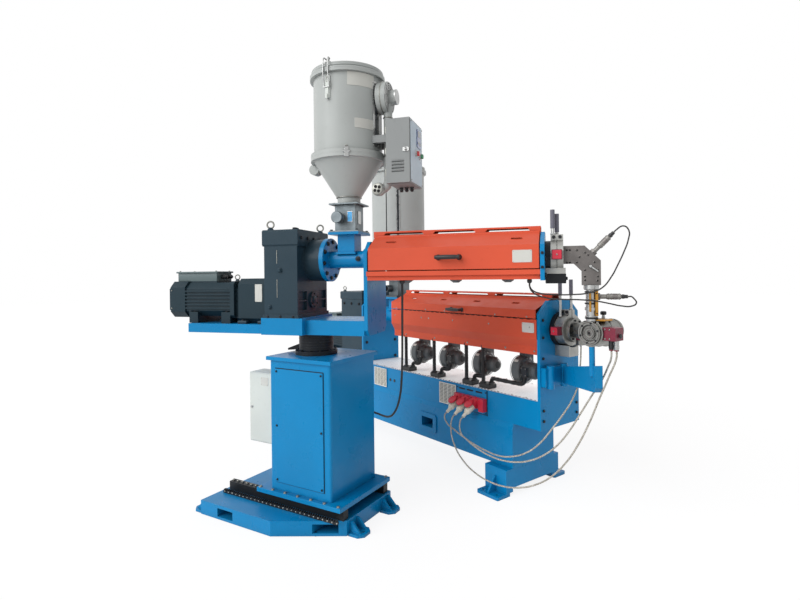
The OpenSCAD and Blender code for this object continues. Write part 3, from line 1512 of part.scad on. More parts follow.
module heater_cable_b() {
  color(cream) tube(heater_route(2, route_b, cable_exit_b), heater_cable_r, [1, 0, 0]);
}

module heater_cable_c() {
  color(cream) tube(heater_route(1, route_c, cable_exit_c), heater_cable_r, [1, 0, 0]);
}

tray_gland_z = aux_z - aux_low + aux_lift - gland_l;
column_way = [-sin(base_yaw), cos(base_yaw), 0];
module power_cable() {
  top = aux_point(power_gland[0], power_gland[1], tray_gland_z);
  low = pedestal_point(column_gland[0], column_v / 2 + gland_l, column_gland[1]);
  color(black) tube(concat([top, top - 2 * lead * up], power_route, [low + lead * column_way, low]),
    power_cable_r, [1, 0, 0]);
}

module sensor_cable(start, way, points, q) {
  rest = [for (p = points) [pipe_p + p[0], p[1], aux_z + p[2]]];
  end = [sensor_gland_p, q, tray_gland_z];
  aux_place() tube(concat([start, start + sensor_lead * way], rest, [end - sensor_lead * up, end]),
    sensor_cable_r, [0, 1, 0]);
}

module sensor_cables() {
  slant = [sqrt(0.5), 0, sqrt(0.5)];
  color(black) {
    sensor_cable([neck_face[0], 0, neck_face[1]] + sensor_reach * slant, slant, upper_route, sensor_gland_q[0]);
    sensor_cable([low_sensor_p + sensor_reach, 0, low_sensor_z], [1, 0, 0], lower_route, sensor_gland_q[1]);
  }
}

main_feet();
main_beam();
main_box();
drive_plate();
deck_plate();
base_panels();
power_sockets();
heater_plugs();
main_end_plate();
main_gearbox();
main_motor();
main_feed_throat();
barrels();
barrel_flanges();
barrel_heaters();
barrel_blowers();
conduits_glands();
cover_trays();
cover_backs();
main_cover_lid();
aux_cover_lid();
main_hopper_base();
main_hopper_body();
main_hopper_lid();
die_clamps();
clamp_levers();
die_adapter();
crosshead();
heater_boxes();
support_arm();
melt_pipe();
gooseneck();
melt_sensors();
pedestal_base();
slide_rails();
slide_plate();
column();
column_door();
junction_box();
swivel_ring();
swing_beam();
barrel_post();
aux_end_plate();
aux_motor();
aux_bell_housing();
aux_gearbox();
aux_feed_throat();
aux_hopper_base();
aux_hopper_cone();
aux_hopper_cylinder();
aux_hopper_lid();
hopper_latches();
dryer_blower();
control_box();
control_box_door();
heater_cable_a();
heater_cable_b();
heater_cable_c();
power_cable();
sensor_cables();
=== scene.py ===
"""Looks of the co-extrusion line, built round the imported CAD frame."""
import math
from itertools import product

import bmesh
import bpy
from mathutils import Matrix, Vector


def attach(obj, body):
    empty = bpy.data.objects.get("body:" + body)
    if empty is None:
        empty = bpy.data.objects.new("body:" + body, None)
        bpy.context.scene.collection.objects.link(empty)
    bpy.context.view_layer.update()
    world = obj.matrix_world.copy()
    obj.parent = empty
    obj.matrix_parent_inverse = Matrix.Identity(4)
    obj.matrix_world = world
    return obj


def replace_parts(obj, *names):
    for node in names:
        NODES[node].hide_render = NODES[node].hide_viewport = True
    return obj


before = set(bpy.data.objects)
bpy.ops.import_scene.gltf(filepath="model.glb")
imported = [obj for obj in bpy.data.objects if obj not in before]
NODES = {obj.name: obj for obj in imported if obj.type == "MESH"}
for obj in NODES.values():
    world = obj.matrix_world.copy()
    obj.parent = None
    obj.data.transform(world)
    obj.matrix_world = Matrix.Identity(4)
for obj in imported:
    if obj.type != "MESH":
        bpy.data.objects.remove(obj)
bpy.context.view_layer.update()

# Camera of the photograph, in the part's frame
CAM_POS = Vector((2.141, -2.601, 1.328))
CAM_HEADING = math.radians(141.97)
CAM_ROLL = math.radians(-0.66)
CAM_FOCAL_PX = 516.8
CAM_CENTRE_PX = (405.8, 275.2)
IMAGE_PX = (800, 600)
SENSOR_MM = 36.0

# Heights and places of the part, in millimetres
MM = 0.001
AXIS_H = 1000
AUX_Z = 1419
BOX_TOP = 593
DECK_TOP = 597
BOX_FACE = -187
PANEL_FACE = -192
END_PLATE_X = 288
MAIN_NOSE = 314
COVER_MID = -432
COVER_FACE = -192
ZONE_PITCH = 328
FAN_X = [COVER_MID + i * ZONE_PITCH for i in (-1.5, -0.5, 0.5, 1.5)]
FAN_Y = -62
FAN_Z = 737.5
FAN_R = 82
TRAY_Z = 870
SWING_TOP = 1061
COLUMN_TOP = 887
COLUMN_HV = 207
POST_P = 331
HOPPER_R = 190
HOPPER_JOINT = 558
DRYER_FAN_Z = 880
MAIN_HOPPER_R = 216
MAIN_HOPPER_JOINT = 420
PIPE_P = 1446
HEAD_X = 705.6
HEAD_Y0 = -350.5
HEAD_Z = 1035
AUX_NOSE = 1257
AUX_END_FACE = 1231
CLAMP_MID = 30

# X runs along the line, Y to its far side, Z up
X = Vector((1, 0, 0))
Y = Vector((0, 1, 0))
Z = Vector((0, 0, 1))
LINE = Matrix.Identity(4)
SWIVEL = Matrix.Translation((-476, -1159, 0))
AUX = SWIVEL @ Matrix.Rotation(math.radians(35.2), 4, "Z")
AUX_AXIS = AUX @ Matrix.Translation((0, 0, AUX_Z))
PEDESTAL = SWIVEL @ Matrix.Rotation(math.radians(21.9), 4, "Z")
HOPPER = AUX_AXIS @ Matrix.Translation((170, 0, 0))
ADAPTER = Matrix.Translation((402, 0, AXIS_H)) @ Matrix.Rotation(math.radians(-33.5), 4, "Z")
MAIN_HOPPER = Matrix.Translation((-1276, 0, AXIS_H + 150))


def make_camera():
    data = bpy.data.cameras.new("camera")
    data.sensor_width = SENSOR_MM
    data.lens = CAM_FOCAL_PX / IMAGE_PX[0] * SENSOR_MM
    data.shift_x = (IMAGE_PX[0] / 2 - CAM_CENTRE_PX[0]) / IMAGE_PX[0]
    data.shift_y = (CAM_CENTRE_PX[1] - IMAGE_PX[1] / 2) / IMAGE_PX[0]
    data.clip_end = 100
    forward = Vector((math.cos(CAM_HEADING), math.sin(CAM_HEADING), 0))
    right = forward.cross(Z)
    right_rolled = right * math.cos(CAM_ROLL) + Z * math.sin(CAM_ROLL)
    up_rolled = Z * math.cos(CAM_ROLL) - right * math.sin(CAM_ROLL)
    turn = Matrix((right_rolled, up_rolled, -forward)).transposed().to_4x4()
    camera = bpy.data.objects.new("camera", data)
    camera.matrix_world = Matrix.Translation(CAM_POS) @ turn
    bpy.context.collection.objects.link(camera)
    bpy.context.scene.camera = camera


# Materials

def tone(colour, k=1.0):
    """Linear colour of an 8-bit screen colour, lighter or darker by a factor."""
    linear = (c / 3294.6 if c <= 10 else ((c / 255 + 0.055) / 1.055) ** 2.4 for c in colour)
    return tuple(min(1, c * k) for c in linear) + (1,)


class Tree:
    """The node tree of a material or world, and short calls that add nodes to it."""

    def __init__(self, owner):
        owner.use_nodes = True
        self.nodes, self.links = owner.node_tree.nodes, owner.node_tree.links

    def put(self, node, inputs):
        """Sets inputs of a node, by name or number, to constants or links."""
        for key, value in inputs.items():
            if isinstance(value, (int, float, tuple)):
                node.inputs[key].default_value = value
            else:
                self.links.new(value, node.inputs[key])

    def add(self, kind, inputs, **settings):
        """Adds a node and gives its outputs."""
        node = self.nodes.new(kind)
        for key, value in settings.items():
            setattr(node, key, value)
        self.put(node, inputs)
        return node.outputs

    def math(self, kind, *values):
        return self.add("ShaderNodeMath", dict(enumerate(values)), operation=kind)[0]

    def vector(self, kind, *values):
        return self.add("ShaderNodeVectorMath", dict(enumerate(values)), operation=kind)

    def ranged(self, *values):
        """Maps a value from a range to another one, 0 to 1 if it is not given."""
        return self.add("ShaderNodeMapRange", dict(enumerate(values)))[0]

    def mix(self, factor, a, b):
        return self.add("ShaderNodeMix", {0: factor, 6: a, 7: b}, data_type="RGBA")[2]


class Look(Tree):
    """A material: its shader, and the patterns that feed it."""

    def __init__(self, name, rough, metal=0.0, coat=0.0, shine=0.5):
        self.mat = bpy.data.materials.new(name)
        super().__init__(self.mat)
        self.out = self.nodes["Principled BSDF"]
        self.put(self.out, {"Metallic": metal, "Roughness": rough, "Coat Weight": coat,
                            "Coat Roughness": 0.12, "Specular IOR Level": shine})
        self.where = self.add("ShaderNodeTexCoord", {})["Object"]

    def noise(self, scale, detail, stretch=None):
        where = self.where
        if stretch:
            where = self.add("ShaderNodeMapping", {"Scale": stretch, "Vector": where})[0]
        return self.add("ShaderNodeTexNoise", {"Scale": scale, "Detail": detail, "Vector": where})["Fac"]

    def soft_edges(self, radius):
        """A normal rounded over edges, and a mask of the edges themselves."""
        bevel = self.add("ShaderNodeBevel", {"Radius": radius}, samples=4)[0]
        flat = self.add("ShaderNodeNewGeometry", {})["True Normal"]
        return bevel, self.ranged(self.vector("DOT_PRODUCT", bevel, flat)["Value"], 0.99, 0.85)

    def bump(self, height, strength, distance, normal=None):
        inputs = {"Strength": strength, "Distance": distance, "Height": height}
        if normal is not None:
            inputs["Normal"] = normal
        self.put(self.out, {"Normal": self.add("ShaderNodeBump", inputs)[0]})

    def corners(self, colour, depth, reach=0.09):
        """Darkens a colour where surfaces meet: painted shade from occlusion, also standing for dust and
        grease.
        """
        shadow = self.add("ShaderNodeAmbientOcclusion", {"Distance": reach}, samples=4)["AO"]
        return self.mix(self.ranged(shadow, 0.15, 0.75, depth, 0.0), colour, (0.02, 0.025, 0.03, 1))

    def colour(self, value):
        self.put(self.out, {"Base Color": value})

    def uneven(self, scale, detail, low, high):
        """Roughness that drifts between two values."""
        self.put(self.out, {"Roughness": self.ranged(self.noise(scale, detail), 0.3, 0.7, low, high)})

    def aged_and_shaded(self, base, radius, wear_and_highlight, chip_and_highlight, grime_and_shade, reach, skin, depth, distance):
        """Edges paler from wear and painted highlight, corners darker from dirt and painted shade, and a
        bumpy skin over a base colour.
        """
        normal, edge = self.soft_edges(radius)
        # Paler edges: wear, and painted highlight where edges catch the light.
        base = self.mix(self.math("MULTIPLY", edge, wear_and_highlight), base, chip_and_highlight)
        # Darker corners: dirt, and painted shade.
        self.colour(self.corners(base, grime_and_shade, reach))
        self.bump(skin, depth, distance, normal)
        return self.mat


def paint(name, colour, rough=0.34, coat=0.06, peel=0.05, peel_scale=260, wear_and_highlight=0.45, grime_and_shade=0.4, chip_and_highlight=None):
    """Sprayed paint: slow colour drift, orange peel, paler edges from wear and painted highlight, dust and
    painted shade in the corners.
    """
    look = Look(name, rough, coat=coat, shine=0.2)
    drift = look.ranged(look.noise(1.7, 4), 0.3, 0.7)
    base = look.mix(drift, tone(colour, 0.90), tone(colour, 1.08))
    speck = look.ranged(look.noise(38, 6), 0.60, 0.74, 0.0, 0.16)
    base = look.mix(speck, base, tone(colour, 0.66))
    look.uneven(9, 4, rough - 0.06, rough + 0.10)
    # Paler edges in patches: wear, and painted highlight.
    wear_and_highlight_mask = look.ranged(look.noise(24, 5), 0.40, 0.62, 0.15, wear_and_highlight)
    chip_and_highlight = chip_and_highlight or tone(colour, 1.6)
    return look.aged_and_shaded(base, 0.0028, wear_and_highlight_mask, chip_and_highlight, grime_and_shade, 0.09, look.noise(peel_scale, 2), peel, 0.002)


def cast(name, colour):
    """Painted casting: coarse skin, dull, with paler scuffs on the edges that are also painted highlight, and
    painted shade in the corners.
    """
    return paint(name, colour, 0.46, 0.08, 0.22, 150, 0.6, 0.45, tone(colour, 2.6))


def metal(name, colour, rough, stain=0.45, grime_and_shade=0.6):
    """Bare metal: machining grain, smudges, bright edges from wear and painted highlight, grease and painted
    shade in the corners.
    """
    look = Look(name, rough, metal=1.0)
    smudge = look.ranged(look.noise(14, 6), 0.35, 0.72, 0.0, stain)
    base = look.mix(smudge, tone(colour), tone(colour, 0.42))
    look.uneven(30, 5, rough - 0.07, rough + 0.14)
    grain = look.noise(90, 3, (1, 1, 30))
    return look.aged_and_shaded(base, 0.0016, 0.7, tone(colour, 1.6), grime_and_shade, 0.07, grain, 0.10, 0.001)


def plastic(name, colour, rough=0.42, grain=0.10):
    """Moulded plastic or rubber: fine spark-eroded skin, faint scuffs."""
    look = Look(name, rough)
    scuff = look.ranged(look.noise(46, 6), 0.55, 0.75, 0.0, 0.35)
    base = look.mix(scuff, tone(colour), tone(colour, 1.5))
    # Paler edges are wear and painted highlight; darker corners are painted shade and dust.
    return look.aged_and_shaded(base, 0.0015, 0.35, tone(colour, 1.9), 0.3, 0.05, look.noise(700, 2), grain, 0.001)


def dotted(name, colour, hole, pitch, share):
    """Perforated sheet: a square grid of punched holes."""
    look = Look(name, 0.45)
    cells = look.add("ShaderNodeVectorMath", {0: look.where, "Scale": 1 / pitch}, operation="SCALE")[0]
    flat = look.vector("MULTIPLY", look.vector("FRACTION", cells)[0], (1, 1, 0))[0]
    gap = look.vector("DISTANCE", flat, (0.5, 0.5, 0))["Value"]
    dot = look.ranged(gap, share, share + 0.06, 1.0, 0.0)
    drift = look.ranged(look.noise(5, 5), 0.3, 0.7, 0.0, 0.25)
    base = look.mix(drift, tone(colour), tone(colour, 0.82))
    # The holes' colour is painted shade seen through the sheet; corners are darkened with painted shade.
    look.colour(look.corners(look.mix(dot, base, tone(hole)), 0.35))
    look.bump(look.math("SUBTRACT", 1.0, dot), 0.3, 0.001)
    return look.mat


def braid(name, colour, dark, scale):
    """Braided sleeve: crossing pale and dark strands."""
    look = Look(name, 0.6)
    strands = look.add("ShaderNodeTexVoronoi", {"Scale": scale, "Vector": look.where})["Distance"]
    look.colour(look.mix(look.ranged(strands, 0.25, 0.55), tone(colour), tone(dark)))
    look.bump(strands, 0.5, 0.002)
    return look.mat


def glow(name, colour, rough):
    """Clear plastic over a coloured window or lamp."""
    look = Look(name, rough, coat=0.6)
    look.colour(look.mix(look.ranged(look.noise(60, 2), 0.3, 0.7), tone(colour, 0.8), tone(colour, 1.15)))
    return look.mat


BLUE = paint("blue_enamel", (0, 130, 188), 0.30)
RED = paint("red_powder", (214, 86, 58), 0.42, peel=0.10, wear_and_highlight=0.35)
SLATE = cast("slate_casting", (34, 56, 68))
SLATE_DARK = cast("slate_motor", (22, 45, 55))
SLATE_PALE = cast("slate_box", (100, 115, 117))
GREY = paint("hopper_grey", (176, 180, 178), 0.36, wear_and_highlight=0.25, grime_and_shade=0.3)
BOX_GREY = paint("box_grey", (142, 145, 145), 0.42, wear_and_highlight=0.3)
PALE = paint("pale_panel", (212, 217, 212), 0.4, grime_and_shade=0.25)
PANEL_BLUE = paint("panel_blue", (188, 206, 218), 0.4)
CREAM = paint("vent_cream", (236, 233, 222), 0.5, coat=0.0, grime_and_shade=0.35)
BARE = paint("bare_plate", (206, 206, 200), 0.42, coat=0.0, grime_and_shade=0.2)
STEEL = metal("machined_steel", (146, 146, 142), 0.36)
CHROME = metal("chrome", (176, 177, 176), 0.28, 0.12, 0.5)
CLAMP_STEEL = metal("clamp_steel", (172, 172, 168), 0.46, 0.4)
TOOL = metal("tool_steel", (118, 114, 112), 0.42, 0.5)
SENSOR = metal("sensor_steel", (140, 138, 134), 0.5, 0.3)
ALLOY = metal("cast_alloy", (120, 128, 132), 0.48, 0.3)
BRASS = metal("brass", (190, 140, 64), 0.34)
BLACK_METAL = paint("black_satin", (26, 29, 33), 0.42, peel=0.12, wear_and_highlight=0.5, chip_and_highlight=tone((110, 112, 115)))
FAN_GREY = paint("fan_grey", (92, 96, 97), 0.34, peel=0.15, wear_and_highlight=0.5, chip_and_highlight=tone((140, 142, 144)))
BLACK = plastic("black_plastic", (24, 25, 28))
RUBBER = plastic("black_rubber", (20, 20, 22), 0.55, 0.2)
BOLT = metal("black_bolt", (52, 54, 58), 0.40)
ZINC = metal("zinc_bolt", (158, 158, 152), 0.36)
MAROON = plastic("maroon_plastic", (116, 22, 48), 0.36)
SOCKET_RED = plastic("socket_red", (206, 40, 62), 0.36)
PLUG_CREAM = plastic("plug_cream", (226, 220, 202))
GRIP = plastic("grip_grey", (98, 98, 110), 0.5)
DECK = dotted("perforated_deck", (250, 250, 250), (176, 180, 186), 0.012, 0.18)
HEATER_BRAID = braid("heater_braid", (234, 230, 218), (136, 130, 120), 330)
BLACK_BRAID = braid("black_braid", (40, 40, 42), (14, 14, 15), 420)
SENSOR_BRAID = braid("sensor_braid", (74, 73, 72), (22, 22, 22), 420)
DARK_GLASS = glow("dark_glass", (34, 38, 44), 0.08)
BLUE_WINDOW = glow("blue_window", (58, 168, 232), 0.2)
NAVY_WINDOW = glow("navy_window", (36, 74, 140), 0.15)
RED_LAMP = glow("red_lamp", (208, 34, 40), 0.25)
GREEN_LAMP = glow("green_lamp", (30, 132, 84), 0.25)
# Near black laid into slots, holes, seams and screw sockets: painted shade in openings.
RECESS_SHADE = plastic("painted_recess_shade", (10, 11, 12), 0.8)

FINISH = (
    (BLUE, "main_feet main_beam main_box drive_plate base_panels main_end_plate main_feed_throat "
           "support_arm pedestal_base slide_plate column column_door swing_beam barrel_post "
           "aux_end_plate aux_feed_throat"),
    (RED, "cover_trays cover_backs main_cover_lid aux_cover_lid"),
    (SLATE, "main_gearbox aux_gearbox"),
    (SLATE_DARK, "main_motor aux_motor aux_bell_housing"),
    (GREY, "main_hopper_body main_hopper_lid aux_hopper_cone aux_hopper_cylinder aux_hopper_lid "
           "dryer_blower"),
    (BOX_GREY, "control_box control_box_door"),
    (PALE, "junction_box hopper_latches"),
    (STEEL, "barrels barrel_heaters die_adapter crosshead"),
    (ALLOY, "main_hopper_base aux_hopper_base"),
    (CLAMP_STEEL, "die_clamps"),
    (CHROME, "melt_pipe"),
    (TOOL, "gooseneck"),
    (SENSOR, "melt_sensors"),
    (FAN_GREY, "barrel_blowers"),
    (BLACK_METAL, "slide_rails swivel_ring barrel_flanges"),
    (RUBBER, "conduits_glands"),
    (DECK, "deck_plate"),
    (SOCKET_RED, "power_sockets"),
    (MAROON, "heater_boxes"),
    (PLUG_CREAM, "heater_plugs"),
    (GRIP, "clamp_levers"),
    (HEATER_BRAID, "heater_cable_a heater_cable_b heater_cable_c"),
    (BLACK_BRAID, "power_cable"),
    (SENSOR_BRAID, "sensor_cables"),
)
for finish, node_names in FINISH:
    for node_name in node_names.split():
        NODES[node_name].data.materials.clear()
        NODES[node_name].data.materials.append(finish)


# Shapes, in millimetres

def across(way):
    """Two unit directions square to a direction."""
    side = way.cross(Z if abs(way.z) < 0.9 else X).normalized()
    return side, way.cross(side).normalized()


def turns(count, start=0.0):
    """Angles that part a circle evenly."""
    return [start + 2 * math.pi * k / count for k in range(count)]


def around(count, r, start=0.0):
    """Points on a circle, as offsets along two directions."""
    return [(r * math.cos(a), r * math.sin(a)) for a in turns(count, start)]


def polar(deg):
    """Directions out from an upright axis and round it."""
    a = math.radians(deg)
    return Vector((math.cos(a), math.sin(a), 0)), Vector((-math.sin(a), math.cos(a), 0))


def rounded(x0, y0, x1, y1, r, steps=4):
    """Corner points of a rectangle with round corners."""
    found = []
    for i, (cx, cy) in enumerate(((x0 + r, y0 + r), (x1 - r, y0 + r), (x1 - r, y1 - r), (x0 + r, y1 - r))):
        for k in range(steps + 1):
            a = math.pi * (1 + i / 2 + k / steps / 2)
            found.append((cx + r * math.cos(a), cy + r * math.sin(a)))
    return found


def smooth_path(points, steps=8):
    """Points on a smooth curve through the given ones."""
    points = [Vector(p) for p in points]
    ends = [points[0] * 2 - points[1]] + points + [points[-1] * 2 - points[-2]]
    found = []
    for a, b, c, d in zip(ends, ends[1:], ends[2:], ends[3:]):
        for k in range(steps):
            t = k / steps
            found.append(0.5 * (2 * b + (c - a) * t + (2 * a - 5 * b + 4 * c - d) * t * t
                                + (3 * b - a - 3 * c + d) * t ** 3))
    return found + [points[-1]]


class Shape:
    """Gathers solids in millimetres, in one place's frame, into one piece."""

    def __init__(self, name, slot, place=LINE, body="frame"):
        self.name, self.place, self.body, self.slot = name, place, body, slot
        self.mesh = bmesh.new()
        self.mats = []
        self.origin = Vector((0, 0, 0))

    def skin(self, rings, mat, closed=False):
        """A skin over rings of points, capped at both ends or closed on itself."""
        if mat not in self.mats:
            self.mats.append(mat)
        rows = [[self.mesh.verts.new(self.origin + p) for p in ring] for ring in rings]
        faces = [] if closed else [self.mesh.faces.new(rows[0][::-1]), self.mesh.faces.new(rows[-1])]
        for low, high in zip(rows, rows[1:] + rows[:1] if closed else rows[1:]):
            for k in range(len(low)):
                n = (k + 1) % len(low)
                faces.append(self.mesh.faces.new((low[k], low[n], high[n], high[k])))
        for face in faces:
            face.material_index = self.mats.index(mat)
            face.smooth = True

    def turned(self, base, way, outline, mat, sides=24):
        """A turned solid: outline of radius and height along a direction."""
        base, way = Vector(base), Vector(way).normalized()
        u, v = across(way)
        self.skin([[base + way * h + (u * math.cos(a) + v * math.sin(a)) * r for a in turns(sides)]
                   for r, h in outline], mat)

    def knob(self, base, way, r, h, top_r, top_h, mat, sides=12):
        """A button: a plain rim, and an edge broken to a narrower top."""
        self.turned(base, way, [(r, 0), (r, h), (top_r, top_h)], mat, sides)

    def step(self, base, way, r, h, top_r, top_h, mat, sides=18):
        """A stepped pin: a foot, and a narrower shank over it."""
        self.turned(base, way, [(r, 0), (r, h), (top_r, h + 2), (top_r, top_h)], mat, sides)

    def band(self, base, way, r, big_r, edge, length, mat, sides=24):
        """A raised band with broken edges round a shaft."""
        self.turned(base, way, [(r, 0), (big_r, edge), (big_r, length - edge), (r, length)], mat, sides)

    def gland(self, base, way, radii, heights):
        """A cable gland: nut, neck, cap and tip."""
        nut, neck, cap, tip = radii
        h0, h1, h2, h3 = heights
        outline = [(nut, 0), (nut, h0), (neck, h0 + 1), (neck, h1), (cap, h1 + 1), (cap, h2), (tip, h3)]
        self.turned(base, way, outline, BLACK, 12)

    def rod(self, start, end, r, mat, sides=20):
        start, end = Vector(start), Vector(end)
        h = (end - start).length
        c = min(r / 4, h / 4)
        self.band(start, end - start, r - c, r, c, h, mat, sides)

    def slab(self, outline, base, u, v, depth, mat, edge=1.0):
        """A plate of a flat outline with broken edges, its depth along u cross v."""
        base, u, v = Vector(base), Vector(u).normalized(), Vector(v).normalized()
        n = u.cross(v)
        mx, my = (sum(p[i] for p in outline) / len(outline) for i in (0, 1))
        reach = max(max(abs(p[0] - mx), abs(p[1] - my)) for p in outline)
        k = 1 - min(edge / reach, 0.5)
        inner = [(mx + (x - mx) * k, my + (y - my) * k) for x, y in outline]
        self.skin([[base + u * x + v * y + n * h for x, y in ring] for ring, h in
                   ((inner, 0), (outline, edge), (outline, depth - edge), (inner, depth))], mat)

    def box(self, low, high, mat, edge=1.5):
        e = min([edge] + [(high[i] - low[i]) / 4 for i in range(3)])
        self.slab(rounded(*low[:2], *high[:2], e, 1), (0, 0, low[2]), X, Y, high[2] - low[2], mat, e)

    def tube(self, points, r, mat, sides=12, wave=None):
        """A tube along points; wave is a ring depth and the number of points to a ring."""
        points = [Vector(p) for p in points]
        side = None
        rings = []
        for i, p in enumerate(points):
            way = (points[min(i + 1, len(points) - 1)] - points[max(i - 1, 0)]).normalized()
            side = across(way)[0] if side is None else (side - way * side.dot(way)).normalized()
            other = way.cross(side)
            size = r if wave is None or i % wave[1] < wave[1] / 2 else r - wave[0]
            rings.append([p + (side * math.cos(a) + other * math.sin(a)) * size for a in turns(sides)])
        self.skin(rings, mat)

    def hex(self, base, way, size, mat=BOLT, washer=True):
        """Hexagon bolt head on a washer; size is the thread diameter."""
        base = Vector(base)
        if washer:
            self.turned(base, way, [(size * 1.05, 0), (size * 1.1, size * 0.06), (size * 1.05, size * 0.14)],
                        mat, 18)
            base = base + way * size * 0.13
        self.knob(base, way, size * 0.9, size * 0.52, size * 0.74, size * 0.64, mat, 6)

    def cap(self, base, way, size, mat=BOLT):
        """Socket cap screw whose socket is a dark disc of painted shade; size is the thread diameter."""
        base = Vector(base)
        r, h = size * 0.8, size * 0.75
        self.turned(base, way, [(r, 0), (r, h * 0.85), (size * 0.7, h), (size * 0.5, h)], mat, 16)
        self.knob(base + way * (h - 0.2), way, size * 0.42, 0.6, size * 0.36, 0.7, RECESS_SHADE, 6)

    def ring(self, centre, way, big, small, mat, sides=28):
        """A round ring of round bar."""
        centre, way = Vector(centre), Vector(way).normalized()
        u, v = across(way)
        outs = [u * math.cos(a) + v * math.sin(a) for a in turns(sides)]
        self.skin([[centre + out * (big + small * math.cos(b)) + way * small * math.sin(b) for b in turns(10)]
                   for out in outs], mat, True)

    def eye(self, base, size):
        """Lifting eye bolt standing on a face."""
        base = Vector(base)
        foot = ((0.55, 0), (0.6, 0.1), (0.5, 0.3), (0.3, 0.5))
        self.turned(base, Z, [(r * size, h * size) for r, h in foot], SLATE, 16)
        self.ring(base + Z * size * 1.05, (-0.3, 1, 0), size * 0.62, size * 0.16, ZINC)

    def plate(self, w, h, base, v=Z, rivets=True):
        """A bare plate with round corners and a rivet in each corner; w and h are half sizes."""
        v = Vector(v).normalized()
        self.slab(rounded(-w, -h, w, h, 4, 3), base, X, v, 1.6, BARE, 0.5)
        out = X.cross(v)
        corners = product((5 - w, w - 5), (5 - h, h - 5)) if rivets else ()
        for x, y in corners:
            at = Vector(base) + X * x + v * y + out * 1.4
            self.turned(at, out, [(2.2, 0), (2.0, 0.7), (1.0, 1.1)], ZINC, 10)

    def each(self, make, xs, ys, zs, *rest):
        """The same solid at every place of a grid; a side of it is one value or several."""
        for at in product(*(side if hasattr(side, "__iter__") else (side,) for side in (xs, ys, zs))):
            make(at, *rest)

    def done(self):
        bmesh.ops.recalc_face_normals(self.mesh, faces=self.mesh.faces)
        for edge in self.mesh.edges:
            edge.smooth = edge.calc_face_angle(0) < math.radians(34)
        mesh = bpy.data.meshes.new(self.name)
        self.mesh.to_mesh(mesh)
        self.mesh.free()
        mesh.transform(Matrix.Scale(MM, 4) @ self.place)
        for mat in self.mats:
            mesh.materials.append(mat)
        piece = bpy.data.objects.new(self.name, mesh)
        bpy.context.collection.objects.link(piece)
        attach(piece, self.body)
        return piece


# Free cables: the same routes as the solids

PLUG_WAY = Vector((0, -math.cos(math.radians(35)), -math.sin(math.radians(35))))
SOCKET_AT = [Vector((x, -218, 505)) for x in (-354, -280, -206)]
LEAD = 26
HEAD_EXIT_X = (789.9, 816.9)
HEAD_EXIT_Y = -294.5
ROUTE_A = [(-330, -348, 376), (-270, -340, 342), (-180, -338, 312), (-90, -334, 288), (0, -328, 272),
           (90, -320, 266), (180, -310, 284), (270, -296, 326), (345, -274, 392), (400, -240, 475),
           (438, -190, 555), (457, -130, 630), (456, -66, 716), (452, -42, 806)]
ROUTE_B = [(-185, -364, 350), (-120, -368, 315), (-30, -364, 282), (60, -358, 264), (150, -350, 262),
           (240, -342, 276), (330, -332, 308), (415, -322, 360), (490, -308, 430), (550, -290, 515),
           (600, -266, 610), (645, -240, 700), (695, -228, 785), (745, -250, 865)]
ROUTE_C = [(-268, -368, 345), (-225, -376, 255), (-150, -378, 185), (-50, -378, 140), (60, -376, 122),
           (170, -372, 126), (280, -366, 152), (385, -360, 200), (480, -354, 270), (565, -348, 365),
           (635, -342, 475), (695, -338, 595), (745, -334, 715), (790, -320, 830)]
POWER_ROUTE = [(-40, -922, 1120), (-46, -919, 990), (-54, -915, 880), (-70, -908, 775), (-100, -896, 680),
               (-150, -880, 600), (-220, -858, 540), (-300, -832, 505), (-380, -812, 490), (-450, -806, 488),
               (-500, -820, 492)]
UPPER_ROUTE = [(150, -3, 134), (172, -8, 112), (168, -16, 65), (148, -26, 10), (120, -38, -50),
               (88, -50, -110), (45, -60, -162), (-15, -64, -186), (-90, -62, -194), (-170, -60, -194),
               (-240, -60, -188), (-278, -60, -172)]
LOWER_ROUTE = [(192, -8, -216), (200, -22, -236), (176, -36, -250), (130, -48, -248), (75, -60, -236),
               (15, -72, -224), (-60, -78, -218), (-140, -80, -216), (-215, -82, -208), (-276, -82, -180)]
SLANT = Vector((math.sqrt(0.5), 0, math.sqrt(0.5)))


def cord(name, points, r, mat, node):
    """A free cable through the points of its solid."""
    data = bpy.data.curves.new(name, "CURVE")
    data.dimensions = "3D"
    data.bevel_depth = r * MM
    data.bevel_resolution = 4
    data.resolution_u = 10
    spline = data.splines.new("BEZIER")
    spline.bezier_points.add(len(points) - 1)
    for knot, p in zip(spline.bezier_points, points):
        knot.co = Vector(p) * MM
        knot.handle_left_type = knot.handle_right_type = "AUTO"
    data.materials.append(mat)
    piece = bpy.data.objects.new(name, data)
    bpy.context.collection.objects.link(piece)
    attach(piece, "frame")
    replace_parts(piece, node)


def heater_lead(letter, i, points, end):
    """A braided lead from a plug up to a heater box."""
    start = SOCKET_AT[i] + PLUG_WAY * 125
    cord("heater_lead_" + letter, [start, start + PLUG_WAY * LEAD, *points, end - Z * LEAD, end], 4.5,
         HEATER_BRAID, "heater_cable_" + letter)


def sensor_lead(name, start, way, points, q):
    """A thin lead from a melt sensor to a gland under the auxiliary cover."""
    start, end = Vector(start), Vector((1156, q, 1282))
    middle = [Vector((PIPE_P + p, y, AUX_Z + z)) for p, y, z in points]
    cord(name, [AUX @ p for p in (start, start + way * 14, *middle, end - Z * 14, end)], 3.5, SENSOR_BRAID,
         "sensor_cables")


